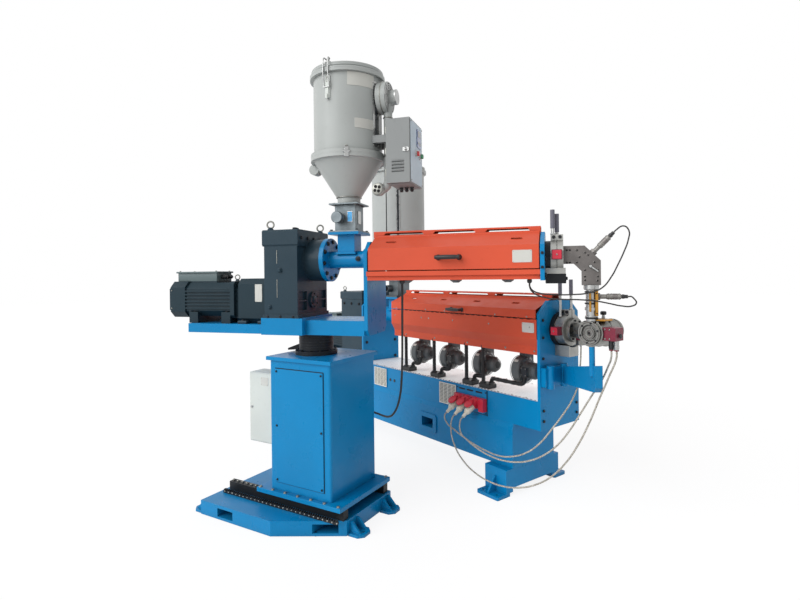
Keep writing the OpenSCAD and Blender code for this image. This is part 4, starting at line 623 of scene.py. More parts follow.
def make_cords():
    heater_lead("a", 0, ROUTE_A, ADAPTER @ Vector((60, 0, -74.3)))
    heater_lead("b", 2, ROUTE_B, Vector((HEAD_EXIT_X[0], HEAD_EXIT_Y, 954)))
    heater_lead("c", 1, ROUTE_C, Vector((HEAD_EXIT_X[1], HEAD_EXIT_Y, 954)))
    top = AUX @ Vector((495, -60, 1282))
    low = PEDESTAL @ Vector((60, 239, 500))
    out = PEDESTAL.to_3x3() @ Y
    cord("power_lead", [top, top - Z * 52, *POWER_ROUTE, low + out * LEAD, low], 6, BLACK_BRAID,
         "power_cable")
    sensor_lead("upper_sensor_lead", (1552, 0, 1525), SLANT, UPPER_ROUTE, -60)
    sensor_lead("lower_sensor_lead", (1612.3, 0, 1213), X, LOWER_ROUTE, -82)


# Dress of each part of the line

def dress_conduits():
    """Corrugated conduits, gland blocks with screws, and hexagon glands."""
    s = Shape("zone_conduits", "black_paint")
    r, y0, z, ribs = 13.4, -146, 657, (1.8, 4)
    start = DECK_TOP + 34
    for x, dx in zip(FAN_X, (-56, -56, -56, -230)):
        g = x + dx
        box_x, box_y = x + 33 + FAN_R / 3, FAN_Y - 0.68 * FAN_R
        s.box((g - 46, y0 - 23, DECK_TOP), (g + 46, box_y + 23, DECK_TOP + 30), BLACK, 4)
        for foot, y in ((g - 23, y0), (g + 23, box_y)):
            s.knob((foot, y, DECK_TOP + 28), Z, 19, 9, 16, 11, BLACK, 6)
        s.each(s.cap, (g - 38, g + 38), y0 - 12, DECK_TOP + 30, Z, 5)
        riser = [(g - 23, y0, start + k * 2.5) for k in range(int((TRAY_Z - start) / 2.5))]
        s.tube(riser, r, RUBBER, 14, ribs)
        loop = [(g + 23, start), (g + 23, z - 14), (g + 33, z - 3), (g + 50, z), (box_x - 50, z),
                (box_x - 24, z + 3), (box_x - 7, z + 14), (box_x, z + 30), (box_x, 712)]
        s.tube(smooth_path([(px, box_y, pz) for px, pz in loop], 14), r, RUBBER, 14, ribs)
        for end, top in (((g - 23, y0, TRAY_Z - 16), 15.8), ((box_x, box_y, 702), 11)):
            s.turned(end, Z, [(16, 0), (18.5, 3), (18.5, top)], BLACK, 6)
    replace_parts(s.done(), "conduits_glands")
    g = Shape("cable_glands", "black_paint", AUX)
    for p, q, r in ((495, -60, 13), (1156, -60, 10), (1156, -82, 10)):
        g.gland((p, q, 1314), -Z, (r + 2, r, r + 1.5, r * 0.75), (10, 15, 25, 32))
    g.done()
    c = Shape("column_gland", "black_paint", PEDESTAL)
    c.gland((60, COLUMN_HV, 500), Y, (16, 13, 15, 9), (10, 16, 25, 32))
    c.done()


def dress_blowers():
    """Rim bands, face bolts, fins, and terminal boxes with lids on the barrel blowers."""
    s = Shape("blower_trim", "black_paint")
    inlet = [(FAN_R - 12, -0.5), (FAN_R - 14, 3), (FAN_R - 26, 4), (FAN_R - 28, 1)]
    lid_y = -0.58 * FAN_R - FAN_R / 4 - 4
    slope = FAN_R * 0.71 + 0.6
    for x in FAN_X:
        s.origin = Vector((x, FAN_Y, FAN_Z))
        for y, z in around(6, FAN_R - 13, 0.5):
            s.hex((33, y, z), X, 5, ZINC, False)
        s.turned((-33, 0, 0), -X, inlet, BLACK_METAL, 32)
        for k in range(4):
            s.ring((-35, 0, 0), X, 10 + 13 * k, 1.4, ZINC, 24)
        s.each(s.ring, (-31, 31), 0, 0, X, FAN_R - 0.6, 1.8, FAN_GREY, 40)
        for k in range(7):
            s.band((49 + k * 8, 0, 0), X, 46, 50.5, 0.8, 4, FAN_GREY, 28)
        s.turned((115, 0, 0), X, [(24, 8), (23, 10.6), (10, 11.4)], BLACK_METAL)
        s.box((41, lid_y, -26), (85, lid_y + 6, 26), BLACK, 3)
        s.each(s.cap, (47, 79), lid_y, (-20, 20), -Y, 4, ZINC)
        s.plate(15, 9, (0, -slope, slope), (0, 1, 1), False)
    s.done()
    a = Shape("aux_blower_trim", "black_paint", AUX)
    for p in (504, 774, 1044):
        for r in (8, 16):
            a.ring((p, 0, 1287), Z, r, 1.2, ZINC, 20)
        for y, x in around(4, 30, 0.4):
            a.cap((p + x, y, 1297), -Z, 3, ZINC)
    a.done()


def handle(s, x, y, z):
    """A moulded bar handle that sleeves the CAD handle."""
    reach, half = 38, 52.5
    span = 2 * half
    bar = [(7, 0), (9.6, 2.5), (9.6, 19), (11, 25), (11.4, half + 11), (11, span - 3), (9.6, span + 3),
           (9.6, span + 19.5), (7, span + 22)]
    s.turned((x - half - 11, y - reach, z), X, bar, BLACK, 20)
    foot = [(9.4, 0), (9.4, reach - 10), (14, reach - 4), (15, reach)]
    s.each(s.turned, (x - half, x + half), y - reach, z, Y, foot, BLACK, 20)


def slot_rims(s, places, slope):
    """Round beads along the edges of the vent slots on a lid's slope."""
    r, outline = 1.6, rounded(-28, -9, 28, 9, 6, 3)
    slope = Vector(slope).normalized()
    out = X.cross(slope)
    for place in places:
        middle = Vector(place) + out * 1.2
        rows = []
        for (ax, ay), (x, y), (bx, by) in zip(outline[-1:] + outline, outline, outline[1:] + outline[:1]):
            n = Vector((by - ay, ax - bx)).normalized() * r
            rows.append([middle + X * (x + n.x * math.cos(b)) + slope * (y + n.y * math.cos(b))
                         + out * r * math.sin(b) for b in turns(8)])
        s.skin(rows, RED, True)


def dress_covers():
    """Handles, screws, plates, hinge slots drawn as dark strips of painted shade, and rolled slot edges of
    both covers.
    """
    lid = Shape("main_lid_trim", "red_paint", body="main_lid")
    handle(lid, -391, COVER_FACE, 1095)
    lid.each(lid.knob, (-713, -510, -46, -1060, 200), COVER_FACE, 1078, -Y, 5, 1.6, 3.4, 2.8, ZINC)
    slot_rims(lid, [(x, -120.2, 1149.5) for x in FAN_X], (0, 143.7, 57))
    lid.done()
    aux = Shape("aux_lid_trim", "red_paint", AUX_AXIS, "aux_lid")
    handle(aux, 770, -164, -4)
    slot_rims(aux, [(p, -106.1, 82.5) for p in (450, 1098)], (0, 115.7, 67))
    aux.done()
    tray = Shape("main_tray_trim", "red_paint")
    tray.each(tray.knob, (-1080, -760, -680, -430, -100, 220), COVER_FACE, 1018, -Y, 5.5, 1.6, 3.6, 2.8, ZINC)
    tray.each(tray.hex, (-980, -650, -320, 10, 230), -162, 876, -Y, 6, ZINC)
    # Hinge slots: dark strips of painted shade.
    for x in range(-1100, 250, 50):
        tray.box((x, -194.6, 1063), (x + 26, -189, 1066.5), RECESS_SHADE, 0.6)
    tray.plate(44, 29, (209, COVER_FACE, 1015))
    tray.done()
    plate = Shape("aux_lid_plate", "red_paint", AUX_AXIS, "aux_lid")
    plate.plate(46, 30, (1128, -164, -6))
    plate.done()


def dress_aux_drive():
    """Bolts, eye bolts, plugs, sight strips, bare plate and motor trim of the auxiliary drive."""
    s = Shape("aux_drive_trim", "slate_paint", AUX_AXIS)
    top, deck = 166, SWING_TOP - AUX_Z
    hub = deck + 132
    for p, q in ((-240, -150), (-84, 150)):
        s.eye((p, q, top), 30)
    for p, q in ((-84, -160), (-240, 160)):
        s.hex((p, q, top), Z, 14)
    s.turned((-140, -40, top), Z, [(20, 0), (20, 8), (14, 10), (14, 18), (10, 21)], SLATE, 6)
    for p, side in product((-240, -162, -84), (-1, 1)):
        s.hex((p, side * 190, deck + 49), Y * side, 7)
    s.each(s.hex, -52, (-150, -75, 0, 75, 150), top - 45, X, 10)
    for y, z in around(6, 36, 0.5):
        s.hex((-50, y, hub + z), X, 6)
    s.turned((-50, 0, hub), X, [(22, -1), (22, 3), (16, 5), (6, 5.4)], SLATE)
    for z0, z1 in ((-20, 54), (-206, -106)):
        s.box((-185, -184, z0), (-182, -181.5, z1), ZINC, 1)
    s.turned((-166, -182, -56), -Y, [(15, 0), (15, 4), (11, 6), (11, 12), (8, 14)], SLATE, 6)
    s.turned((-230, -182, deck + 100), -Y, [(13, 0), (13, 4), (9, 6), (9, 11), (7, 13)], SLATE, 6)
    for y, z in around(10, 102, 0.2):
        s.hex((61, y, z), X, 12)
    motor(s, -963, deck, 118, 214, 30, 276, 58)
    s.eye((-560, 0, deck + 244), 22)
    s.plate(23, 50, (-345, -112, deck + 175))
    s.each(s.gland, -646, (-26, 26), deck + 270, X, (13, 10, 12, 7), (8, 18, 27, 33))
    s.each(s.hex, -505, (-84, 84), (deck + 50, deck + 190), -X, 9)
    for p, side in product((-440, -310), (-1, 1)):
        s.box((p - 30, side * 124 - 14, deck), (p + 30, side * 124 + 14, deck + 18), SLATE, 3)
        s.hex((p, side * 127, deck + 18), Z, 9)
    s.done()


def motor(s, x, z, hw, h, lift, box_l, box_h):
    """Cowl grille, terminal box, its screws and the foot bolts of a motor along X."""
    mid = z + lift + h / 2
    for k in range(5):
        s.ring((x - 1, 0, mid), X, 18 + 16 * k, 2.2, BLACK_METAL, 30)
    for y, dz in around(6, 84):
        s.rod((x - 1, y * 0.2, mid + dz * 0.2), (x - 1, y, mid + dz), 2, BLACK_METAL, 8)
    for side, dz in product((-1, 1), (-h / 4, h / 4)):
        s.cap((x + 26, side * (hw - 1), mid + dz), Y * side, 5, ZINC)
    lid = z + lift + h + box_h
    half = 71
    s.box((x + 33, -half, lid - box_h), (x + 35 + box_l, half, lid - 8), SLATE_PALE, 3)
    s.box((x + 25, -half - 8, lid - 8.5), (x + 43 + box_l, half + 8, lid + 1), SLATE_PALE, 3)
    s.each(s.cap, (x + 44, x + box_l + 24), (7 - half, half - 7), lid + 1, Z, 6, ZINC)
    s.each(s.hex, (x + 180, x + 400), (14 - hw, hw - 14), z + 64, Z, 10)


def dress_swing():
    """Bolts of the post, end plate, throat flange and swivel ring, and the throat's plug."""
    s = Shape("swing_trim", "blue_paint", AUX_AXIS)
    s.each(s.hex, POST_P - 20, (-90, 90), (-269, -119), -X, 14)
    s.knob((240, -47, 2), -Y, 14, 7, 11, 9, BLACK, 20)
    s.knob((240, -55, 2), -Y, 8, 5, 6, 6, BOLT, 6)
    s.each(s.hex, (95, 245), (-75, 75), 158, Z, 9)
    s.each(s.cap, AUX_END_FACE, (-132, 132), (-20, -96), X, 12)
    s.each(s.cap, 1221, -166, (-60, 8), -Y, 9)
    s.done()
    r = Shape("swivel_trim", "black_paint", AUX)
    for x, y in around(12, 108.5, 0.13):
        r.hex((x - 42, y, COLUMN_TOP + 22), Z, 8)
    for k in range(5):
        r.ring((-42, 0, COLUMN_TOP + 44 + 15 * k), Z, 96.5, 1.6, BLACK_METAL, 48)
    r.done()


def curved(s, deg0, deg1, z0, z1, r, t, mat):
    """A plate bent round a hopper's cylinder."""
    steps = 8
    outs = [polar(deg0 + (deg1 - deg0) * k / steps)[0] for k in range(steps + 1)]
    s.skin([[out * a + Z * z for a, z in ((r, z0), (r + t, z0), (r + t, z1), (r, z1))] for out in outs], mat)


def joint_trim(s, r, z, angles, hinged):
    """Clamps and rim screws of the joint between a hopper's cylinder and cone."""
    for deg in angles:
        out, along = polar(deg)
        at = out * (r + 19) + Z * (z - 2)
        s.slab([(-12, -24), (12, -24), (12, 30), (-12, 30)], at - out * 12, along, Z, 15, CHROME, 2)
        if hinged:
            s.rod(at + Z * 4 - along * 20, at + Z * 4 + along * 20, 6, CHROME, 14)
        s.hex(at + Z * 30, Z, 8, ZINC)
    for deg in range(0, 360, 15):
        s.knob(polar(deg)[0] * (r + 11) + Z * (z + 20), Z, 4, 2, 2.5, 3, ZINC, 10)


def dress_hopper():
    """Sight glass, joint, windows and fittings of the auxiliary hopper dryer."""
    s = Shape("hopper_trim", "grey_paint", HOPPER)
    joint_trim(s, HOPPER_R, HOPPER_JOINT, (290, 50, 170), True)
    skin_r = HOPPER_R - 1
    curved(s, 337, 351, 604, 956, skin_r, 5, CHROME)
    curved(s, 340.5, 347.5, 614, 946, HOPPER_R, 5.5, DARK_GLASS)
    curved(s, 353, 357, 604, 956, skin_r, 4.5, CHROME)
    for z, deg in product((612, 700, 780, 860, 948), (338.6, 349.4)):
        out = polar(deg)[0]
        s.turned(out * (HOPPER_R + 4) + Z * z, out, [(4.5, 0), (4.25, 1.6), (2.5, 2.6)], ZINC, 12)
    curved(s, 292, 340, 912, 984, skin_r, 2.4, BARE)
    curved(s, 303, 340, 690, 742, skin_r, 2.4, BARE)
    for p, q in product((-62, 62), (-62, 62)):
        s.hex((p, q, 301), -Z, 6, ZINC)
        s.hex((p, q, 309), Z, 6, ZINC)
    s.slab(rounded(-20, -36, 20, 36, 5, 3), (60, 0, 232), Y, Z, 3, CHROME, 1)
    s.slab(rounded(-16, -30, 16, 30, 4, 3), (30, -60, 234), X, Z, 2.4, CHROME, 0.8)
    s.slab(rounded(-13, -27, 13, 27, 3, 3), (30, -62, 234), X, Z, 1.6, BLUE_WINDOW, 0.5)
    s.turned((-30, -104, 229.5), -Y, [(29, -12), (32, -10), (32, 4), (29, 6.5), (24.5, 6.5)], ALLOY, 28)
    # The port's opening is a dark disc of painted shade.
    s.knob((-30, -100, 229.5), -Y, 23.5, 6, 20, 7, RECESS_SHADE, 24)
    for k in range(3):
        s.ring((-30, -72 - 9 * k, 229.5), Y, 28.5, 1.3, ALLOY, 28)
    s.ring((184, -20, 380), Y, 33, 4, STEEL, 30)
    s.knob((184, -39, 380), -Y, 31, 5, 26, 7, ZINC, 30)
    # Holes in the cap: dark discs of painted shade.
    for x, z in around(4, 15, 0.6):
        s.knob((184 + x, -45, 380 + z), -Y, 9, 2, 8, 2.4, RECESS_SHADE, 14)
    s.each(s.ring, 236, 0, (560, 770), Z, 25, 3, ZINC, 26)
    s.ring((0, 0, 345), Z, 68, 4, STEEL, 40)
    s.done()
    dress_dryer_fan()
    dress_hopper_latch()


def dress_dryer_fan():
    """Guard, vents, seam and motor cap of the dryer's fan."""
    f = Shape("dryer_fan_trim", "grey_paint", HOPPER)
    face = HOPPER_R + 54
    f.origin = Z * DRYER_FAN_Z
    for k in range(4):
        f.ring((face + 3, 0, 0), X, 46 + 12 * k, 2.2, CHROME, 36)
    for y, z in around(8, 82):
        f.rod((face + 3, y * 0.5, z * 0.5), (face + 3, y, z), 2.6, CHROME, 8)
    # Vents: dark plates of painted shade.
    for y, z in around(6, 64, 0.26):
        f.slab(rounded(-15, -11, 15, 11, 5, 2), (face, y, z), Y, Z, 1.4, RECESS_SHADE, 0.4)
    f.ring((HOPPER_R + 27, 0, 0), X, 86, 3, ZINC, 48)
    f.turned((face + 46, 0, 0), X, [(39, -8), (41, -6), (41, -1), (38, 1)], CHROME, 30)
    f.done()


def dress_hopper_latch():
    """Wire bail, keeper and rolled rims on the lid, and the toggle on the cylinder."""
    out, along = polar(260)
    lid = Shape("hopper_bail", "steel", HOPPER, "hopper_lid")
    wire = ((204, 15, 905), (214, 15, 985), (214, 15, 1035), (205, 14, 1058), (190, 12, 1056))
    for e in (-1, 1):
        lid.tube(smooth_path([out * a + along * e * b + Z * z for a, b, z in wire]), 3.4, CHROME)
    loop = out * 190 + Z * 1056
    lid.rod(loop - along * 14, loop + along * 14, 3.4, CHROME, 12)
    lid.slab(rounded(-17, -22, 17, 22, 4, 2), out * 176 + Z * 1042, along, out, 5, PALE, 1)
    lid.knob(out * 188 + Z * 1046, Z, 9, 9, 7, 12, CHROME, 16)
    lid.ring((0, 0, 1003), Z, 206, 3, GREY, 72)
    lid.ring((0, 0, 1029), Z, 197.5, 2.6, GREY, 72)
    lid.done()
    latch = Shape("hopper_latch", "grey_paint", HOPPER)
    latch.slab(rounded(-14, -60, 14, 60, 5, 3), out * 188 + Z * 910, along, Z, 8, PALE, 1.5)
    latch.slab(rounded(-10, -54, 10, 40, 6, 3), out * 196 + Z * 900, along, Z, 7, PALE, 2)
    latch.slab(rounded(-7, -16, 7, 10, 5, 3), out * 202 + Z * 858, along, Z, 8, PALE, 2)
    pivot = out * 204 + Z * 905
    latch.rod(pivot - along * 19, pivot + along * 19, 4, CHROME, 12)
    for z in (862, 934, 956):
        latch.turned(out * 202 + Z * z, out, [(3.4, 0), (3.2, 1.6), (1.6, 2.4)], ZINC, 12)
    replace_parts(latch.done(), "hopper_latches")


def dress_control_box():
    """Panel with display and lamps, gland plate, and the door's latch, louvre lips and hinges."""
    s = Shape("control_box_trim", "grey_paint", HOPPER)
    s.slab(rounded(-108, 398, 117, 723, 6, 3), (392, 0, 0), Y, Z, 3, PANEL_BLUE, 1)
    s.slab(rounded(8, 600, 88, 700, 6, 3), (395, 0, 0), Y, Z, 4, NAVY_WINDOW, 1)
    s.slab(rounded(18, 660, 78, 692, 3, 2), (398.6, 0, 0), Y, Z, 1.4, DARK_GLASS, 0.4)
    s.each(s.knob, 398.6, (24, 48, 72), 626, X, 7, 2, 5.5, 3, PALE, 18)
    for y, mat in ((-6, RED_LAMP), (72, GREEN_LAMP)):
        s.step((394.6, y, 562), X, 20, 3, 15, 9, CHROME, 24)
        s.turned((402, y, 562), X, [(13.5, 0), (13.5, 9), (11, 13), (4, 14)], mat)
    s.each(s.cap, 395, (-100, 109), (406, 715), X, 4, ZINC)
    s.slab(rounded(270, -100, 385, 112, 4, 2), (0, 0, 389.6), X, Y, 2.4, BOX_GREY, 0.8)
    s.each(s.gland, (300, 330, 360), 30, 391, -Z, (12, 9, 10.5, 6), (6, 14, 21, 26))
    for z in (450, 560, 670):
        s.rod((261, -117, z - 18), (261, -117, z + 18), 4.5, ZINC, 12)
    s.done()
    d = Shape("control_door_trim", "grey_paint", HOPPER, "control_door")
    d.slab(rounded(-17, -11, 17, 11, 5, 3), (372, -121, 563), X, Z, 4, CHROME, 1)
    d.knob((372, -125, 563), -Y, 8, 5, 6, 7, CHROME, 18)
    # Keyhole: a dark strip of painted shade.
    d.box((371, -134, 555), (373.4, -130, 571), RECESS_SHADE, 0.5)
    lip = [(-34, 0), (34, 0), (31, 7), (-31, 7)]
    for k in range(4):
        d.slab(lip, (327.5, -121, 453 + 17 * k), X, (0, -0.55, 0.83), 1.6, BOX_GREY, 0.4)
    d.done()


def dress_pedestal():
    """Screws of the column and slide, the column door's seam as a dark sheet of painted shade, and the outer
    half of the junction box.
    """
    s = Shape("column_trim", "blue_paint", PEDESTAL)
    # The door's gap: a dark sheet of painted shade behind the door's edge.
    s.slab(rounded(-170, 196, 170, 826, 3, 2), (0, -COLUMN_HV, 0), X, Z, 1.6, RECESS_SHADE, 0.4)
    s.each(s.cap, (-156, 156), -COLUMN_HV - 6, (214, 510, 808), -Y, 7)
    s.each(s.hex, range(-270, 271, 90), (-226, 226), 155, Z, 9, ZINC)
    s.each(s.cap, range(-525, -300, 36), (-190, 190), 131, Z, 10, ZINC)
    s.each(s.knob, range(-525, 290, 30), -258, 90, -Y, 4.4, 2.4, 2.6, 3.4, ZINC, 10)
    s.step((152, -262, 0), Z, 10, 6, 7, 18, BLACK, 12)
    s.done()
    j = Shape("junction_trim", "white_panel", PEDESTAL)
    j.slab(rounded(-530, 330, -340, 750, 6, 3), (0, 60, 0), X, Z, 116, PALE, 2)
    j.slab(rounded(-524, 336, -346, 744, 5, 3), (0, -56, 0), X, Z, 4, PALE, 1)
    for z in (390, 690):
        j.rod((-344, -58, z - 18), (-344, -58, z + 18), 4, ZINC, 12)
    j.step((-508, -60, 540), -Y, 9, 3, 6, 8, CHROME)
    j.plate(30, 24, (-402, -60, 700))
    j.each(j.step, -340, 160, (450, 710), -X, 11, 4, 8, 9, CHROME)
    j.each(j.gland, -272, (-20, 40, 110), 390, -Z, (14, 11, 12.5, 7), (7, 16, 24, 30))
    j.each(j.cap, (-322, -230), -60, (404, 756), -Y, 5, ZINC)
    j.done()


def dress_base():
    """Vent grilles, socket slots, deck slots, end plate bolts and seams of the main base; the openings of
    grilles and slots, and the seams, are dark strips of painted shade.
    """
    s = Shape("base_trim", "blue_paint")
    lip = [(-17, 0), (17, 0), (15, 5), (-15, 5)]
    for mid in (-1286, -487):
        s.slab(rounded(-84, 438, 84, 582, 3, 2), (mid, PANEL_FACE, 0), X, Z, 3, CREAM, 0.8)
        for row, col in product(range(14), range(4)):
            x, z = mid - 60 + col * 40, 447 + row * 9.6
            # Vent openings between the lips: dark strips of painted shade.
            s.box((x - 17, -195.8, z), (x + 17, -194.6, z + 2.6), RECESS_SHADE, 0.3)
            s.slab(lip, (x, -195, z + 3.2), X, (0, -0.5, 0.86), 1, CREAM, 0.25)
    # Seams round the socket panel: dark strips of painted shade.
    s.box((-124, -193.6, 430), (-121, -187, 590), RECESS_SHADE, 0.5)
    s.box((-397, -193.2, 434), (-122, -187, 437), RECESS_SHADE, 0.5)
    # Socket slots: dark plates of painted shade.
    for x in (-345, -271, -190):
        s.slab(rounded(-30, -5, 30, 5, 4.9, 4), (x, PANEL_FACE, 571), X, Z, 1.4, RECESS_SHADE, 0.4)
    s.each(s.cap, (-386, -132), PANEL_FACE, (444, 576), -Y, 5)
    s.each(s.knob, (-1157, -1104), BOX_FACE, 504, -Y, 11, 3, 8, 4, BLACK, 18)
    # Deck slots: dark strips of painted shade.
    for x in range(-1500, 250, 28):
        s.box((x, -182, DECK_TOP - 0.4), (x + 14, -177, DECK_TOP + 0.7), RECESS_SHADE, 0.3)
    s.each(s.knob, range(-1480, 250, 110), (-168, 168), DECK_TOP, Z, 5, 1.5, 3, 2.6, ZINC)
    s.each(s.cap, END_PLATE_X, (-160, 160), (480, 540, 700, 840, 960, 1060), X, 10)
    s.each(s.hex, -1542, (-150, 150), (620, 760, 900, 1040), X, 12)
    s.done()
    p = Shape("socket_trim", "maroon_plastic")
    turn = Matrix.Rotation(math.radians(125), 3, "X")
    up_way = turn @ Y
    collar = [(26.6, 0), (28.5, 1.5), (28.5, 5), (26.6, 6.4)]
    for at in SOCKET_AT:
        for h, r in ((34, 23), (44, 22.4), (54, 22.4)):
            p.ring(at + PLUG_WAY * h, PLUG_WAY, r, 1.8, PLUG_CREAM, 28)
        p.turned(at + PLUG_WAY * 24, PLUG_WAY, collar, SOCKET_RED, 32)
        flap = at + turn @ Vector((0, 37, 42))
        p.turned(flap - up_way * 1.4, up_way, [(29, 0), (29, 2), (26, 3.6), (12, 4.4)], SOCKET_RED, 32)
        p.rod(at + turn @ Vector((-14, 34, 12)), at + turn @ Vector((14, 34, 12)), 4, SOCKET_RED, 12)
    p.each(p.cap, (-384, -317, -243, -176), -218, 530, -Y, 4.5, ZINC)
    p.done()


def clamp_trim(s, bolt_z, size, face):
    """Screws, and the heater lid on the near side, of a split clamp at the shape's origin."""
    for x in (CLAMP_MID - 15, CLAMP_MID + 15):
        s.cap((x, -26, bolt_z), -Y, size)
        s.hex((x, 26, bolt_z), Y, size, ZINC)
    s.slab(rounded(-21, -21, 21, 21, 3, 2), (CLAMP_MID, face, 0), X, Z, 3, SOCKET_RED, 1)
    s.cap((CLAMP_MID, face - 3, 0), -Y, 5, ZINC)


def lever(s, x, y, base, top, foot):
    """A rod that sleeves a clamp lever."""
    s.turned((x, y, base), Z, [(11, 0), (11, foot), (8, foot + 2), (8, top - 2), (7.6, top)], CHROME, 20)


def dress_main_die():
    """Flange bolts, clamp screws, lever rods, heater band, rings, knobs and connectors at the crosshead."""
    s = Shape("main_die_trim", "steel")
    s.origin = Vector((MAIN_NOSE, 0, AXIS_H))
    for y, z in around(12, 95.6, 0.26):
        if abs(y) > 50 or z > 0:
            s.cap((-0.4, y, z), X, 5.5)
    clamp_trim(s, 104, 11, -130)
    for x, y, base in ((16, -50, math.sqrt(92.5 ** 2 - 50 ** 2)), (44, 16, 116.5)):
        lever(s, x, y, base, 200 - base, 8)
    for y, z in around(8, 57, 0.2):
        s.cap((88, y, z), X, 7)
    s.origin = Vector((HEAD_X, 0, HEAD_Z))
    for r, y in ((52, HEAD_Y0), (38, -341.6), (24, HEAD_Y0)):
        s.ring((0, y, 0), Y, r, 2.2, TOOL, 40)
    for x, z in around(6, 49, 0.3):
        s.cap((x, HEAD_Y0, z), -Y, 6)
    s.turned((0, -345, 0), -Y, [(15, -4), (15, 1), (9, 3), (6, 3)], TOOL)
    # The bore is a dark disc of painted shade.
    s.knob((0, -346, 0), -Y, 7, 2.6, 5, 3, RECESS_SHADE, 18)
    heater = ((58.2, -339.5), (68, -339.5), (68, -249.5), (58.2, -249.5))
    angles = [math.radians(122 + 296 * k / 40) for k in range(41)]
    s.skin([[Vector((r * math.cos(a), y, r * math.sin(a))) for r, y in heater] for a in angles], STEEL)
    for y, r, bar in ((-336, 57.5, 1.6), (-253, 57.5, 1.6), (-230, 58, 2.4), (-150, 58, 2.4)):
        s.ring((0, y, 0), Y, r, bar, TOOL, 40)
    s.box((-50, -236, 52), (50, -206, 64), STEEL, 3)
    s.box((20, -330, 60), (72, -258, 68), BRASS, 1.5)
    s.step((0, -221, 57), Z, 9, 16, 7, 26, CHROME)
    s.turned((0, -221, 83), Z, [(13, 0), (15, 4), (15, 14), (11, 18)], BLACK, 18)
    s.turned((832 - HEAD_X, -294, -8), X, [(8, 0), (8, 5), (11, 6), (11, 8.5), (9, 10)], BLACK, 18)
    s.each(s.cap, (802 - HEAD_X, 778 - HEAD_X), -329.5, (-22, 22), -Y, 5, ZINC)
    plug = [(12.6, 0), (12.6, 10), (11.6, 11), (11.6, 22), (12.8, 23), (12.8, 36),
            (11.4, 38), (11.4, 44), (7, 50)]
    for x, mat in zip(HEAD_EXIT_X, (BLACK, CHROME)):
        s.turned((x - HEAD_X, HEAD_EXIT_Y, 1004 - HEAD_Z), -Z, plug, mat, 20)
    s.done()
    a = Shape("adapter_trim", "steel", ADAPTER)
    for y, z in around(8, 50, 0.39):
        a.cap((228, y, z), -X, 5.5)
        a.hex((284, y, z), X, 4.5, BOLT, False)
    a.each(a.ring, (100, 150, 200), 0, 0, X, 44, 1.8, TOOL, 36)
    a.box((39, -21, -75), (81, 21, -46), STEEL, 2)
    a.box((41, -19, -77), (79, 19, -74), CHROME, 1)
    a.turned((60, 0, -74), -Z, [(9, -2), (9, 4), (7, 6), (6, 14)], CHROME, 16)
    a.done()
    m = Shape("melt_pipe_trim", "steel", AUX)
    m.origin = X * PIPE_P
    for z, r, mat in ((1104, 29, BLACK_METAL), (1112, 28, CHROME), (1176, 29.5, BLACK_METAL),
                      (1192, 28.5, CHROME), (1232, 29.5, BLACK_METAL)):
        m.band((0, 0, z), Z, r, r + 2.5, 1.5, 7.5, mat, 30)
    m.box((16, -32, 1120), (30, -20, 1246), BRASS, 2)
    m.box((-12, -34, 1140), (-2, -26, 1230), BRASS, 2)
    m.each(m.cap, 23, -32, (1132, 1230), -Y, 5)
    for y, p in around(6, 31, 0.2):
        m.cap((p, y, 1249), -Z, 4)
    m.done()


def dress_aux_die():
    """Screws and lever of the gooseneck, sensor collars, clamp screws, lever rods and heater lid."""
    s = Shape("aux_die_trim", "tool_steel", AUX_AXIS)
    s.origin = X * PIPE_P
    holes = ((-112, 23), (-98, 23), (-65, 22), (-28, 9), (-14, -3), (-53, -12), (15, -38), (-112, -38),
             (-98, -38), (-66, -38), (-29, -76), (31, -77), (-29, -108), (30, -108), (-29, -125), (28, -128))
    for (p, z), side in product(holes, (-1, 1)):
        s.knob((p, side * 21, z), Y * side, 6.4, 0.8, 5.4, 1.4, TOOL, 18)
        # The hole in each boss is a dark hexagon of painted shade.
        s.knob((p, side * 22, z), Y * side, 4.6, 0.7, 4.2, 0.8, RECESS_SHADE, 6)
    s.rod((-3, -27, -58), (32, -33, -84), 4, CHROME, 14)
    s.knob((-3, -20, -58), -Y, 8, 6, 6, 9, CHROME, 16)
    for start, way in ((Vector((7, 0, 7)), SLANT), (Vector((26.3, 0, -206)), X)):
        s.band(start + way * 2, way, 17.4, 19.5, 1, 12, TOOL, 6)
        for h in (50, 62, 98):
            s.band(start + way * h, way, 14.1, 15.4, 1, 6, SENSOR)
        s.band(start + way * 70, way, 14.2, 14.7, 0.6, 22.6, TOOL)
        s.turned(start + way * 113, way, [(11, 0), (11, 10), (9, 12), (9, 24), (5, 28)], BLACK, 14)
    s.origin = X * AUX_NOSE
    clamp_trim(s, 90, 10, -116)
    for x, y, top in ((10, -16, 32), (30, 16, 14)):
        lever(s, x, y, 102.5, top, 6)
    s.box((AUX_END_FACE + 1 - AUX_NOSE, -48, -140), (72, 48, -92), BLACK_METAL, 2)
    s.hex((72, 0, -116), X, 10)
    s.ring((CLAMP_MID, 0, 0), X, 78, 2.4, STEEL, 40)
    s.done()


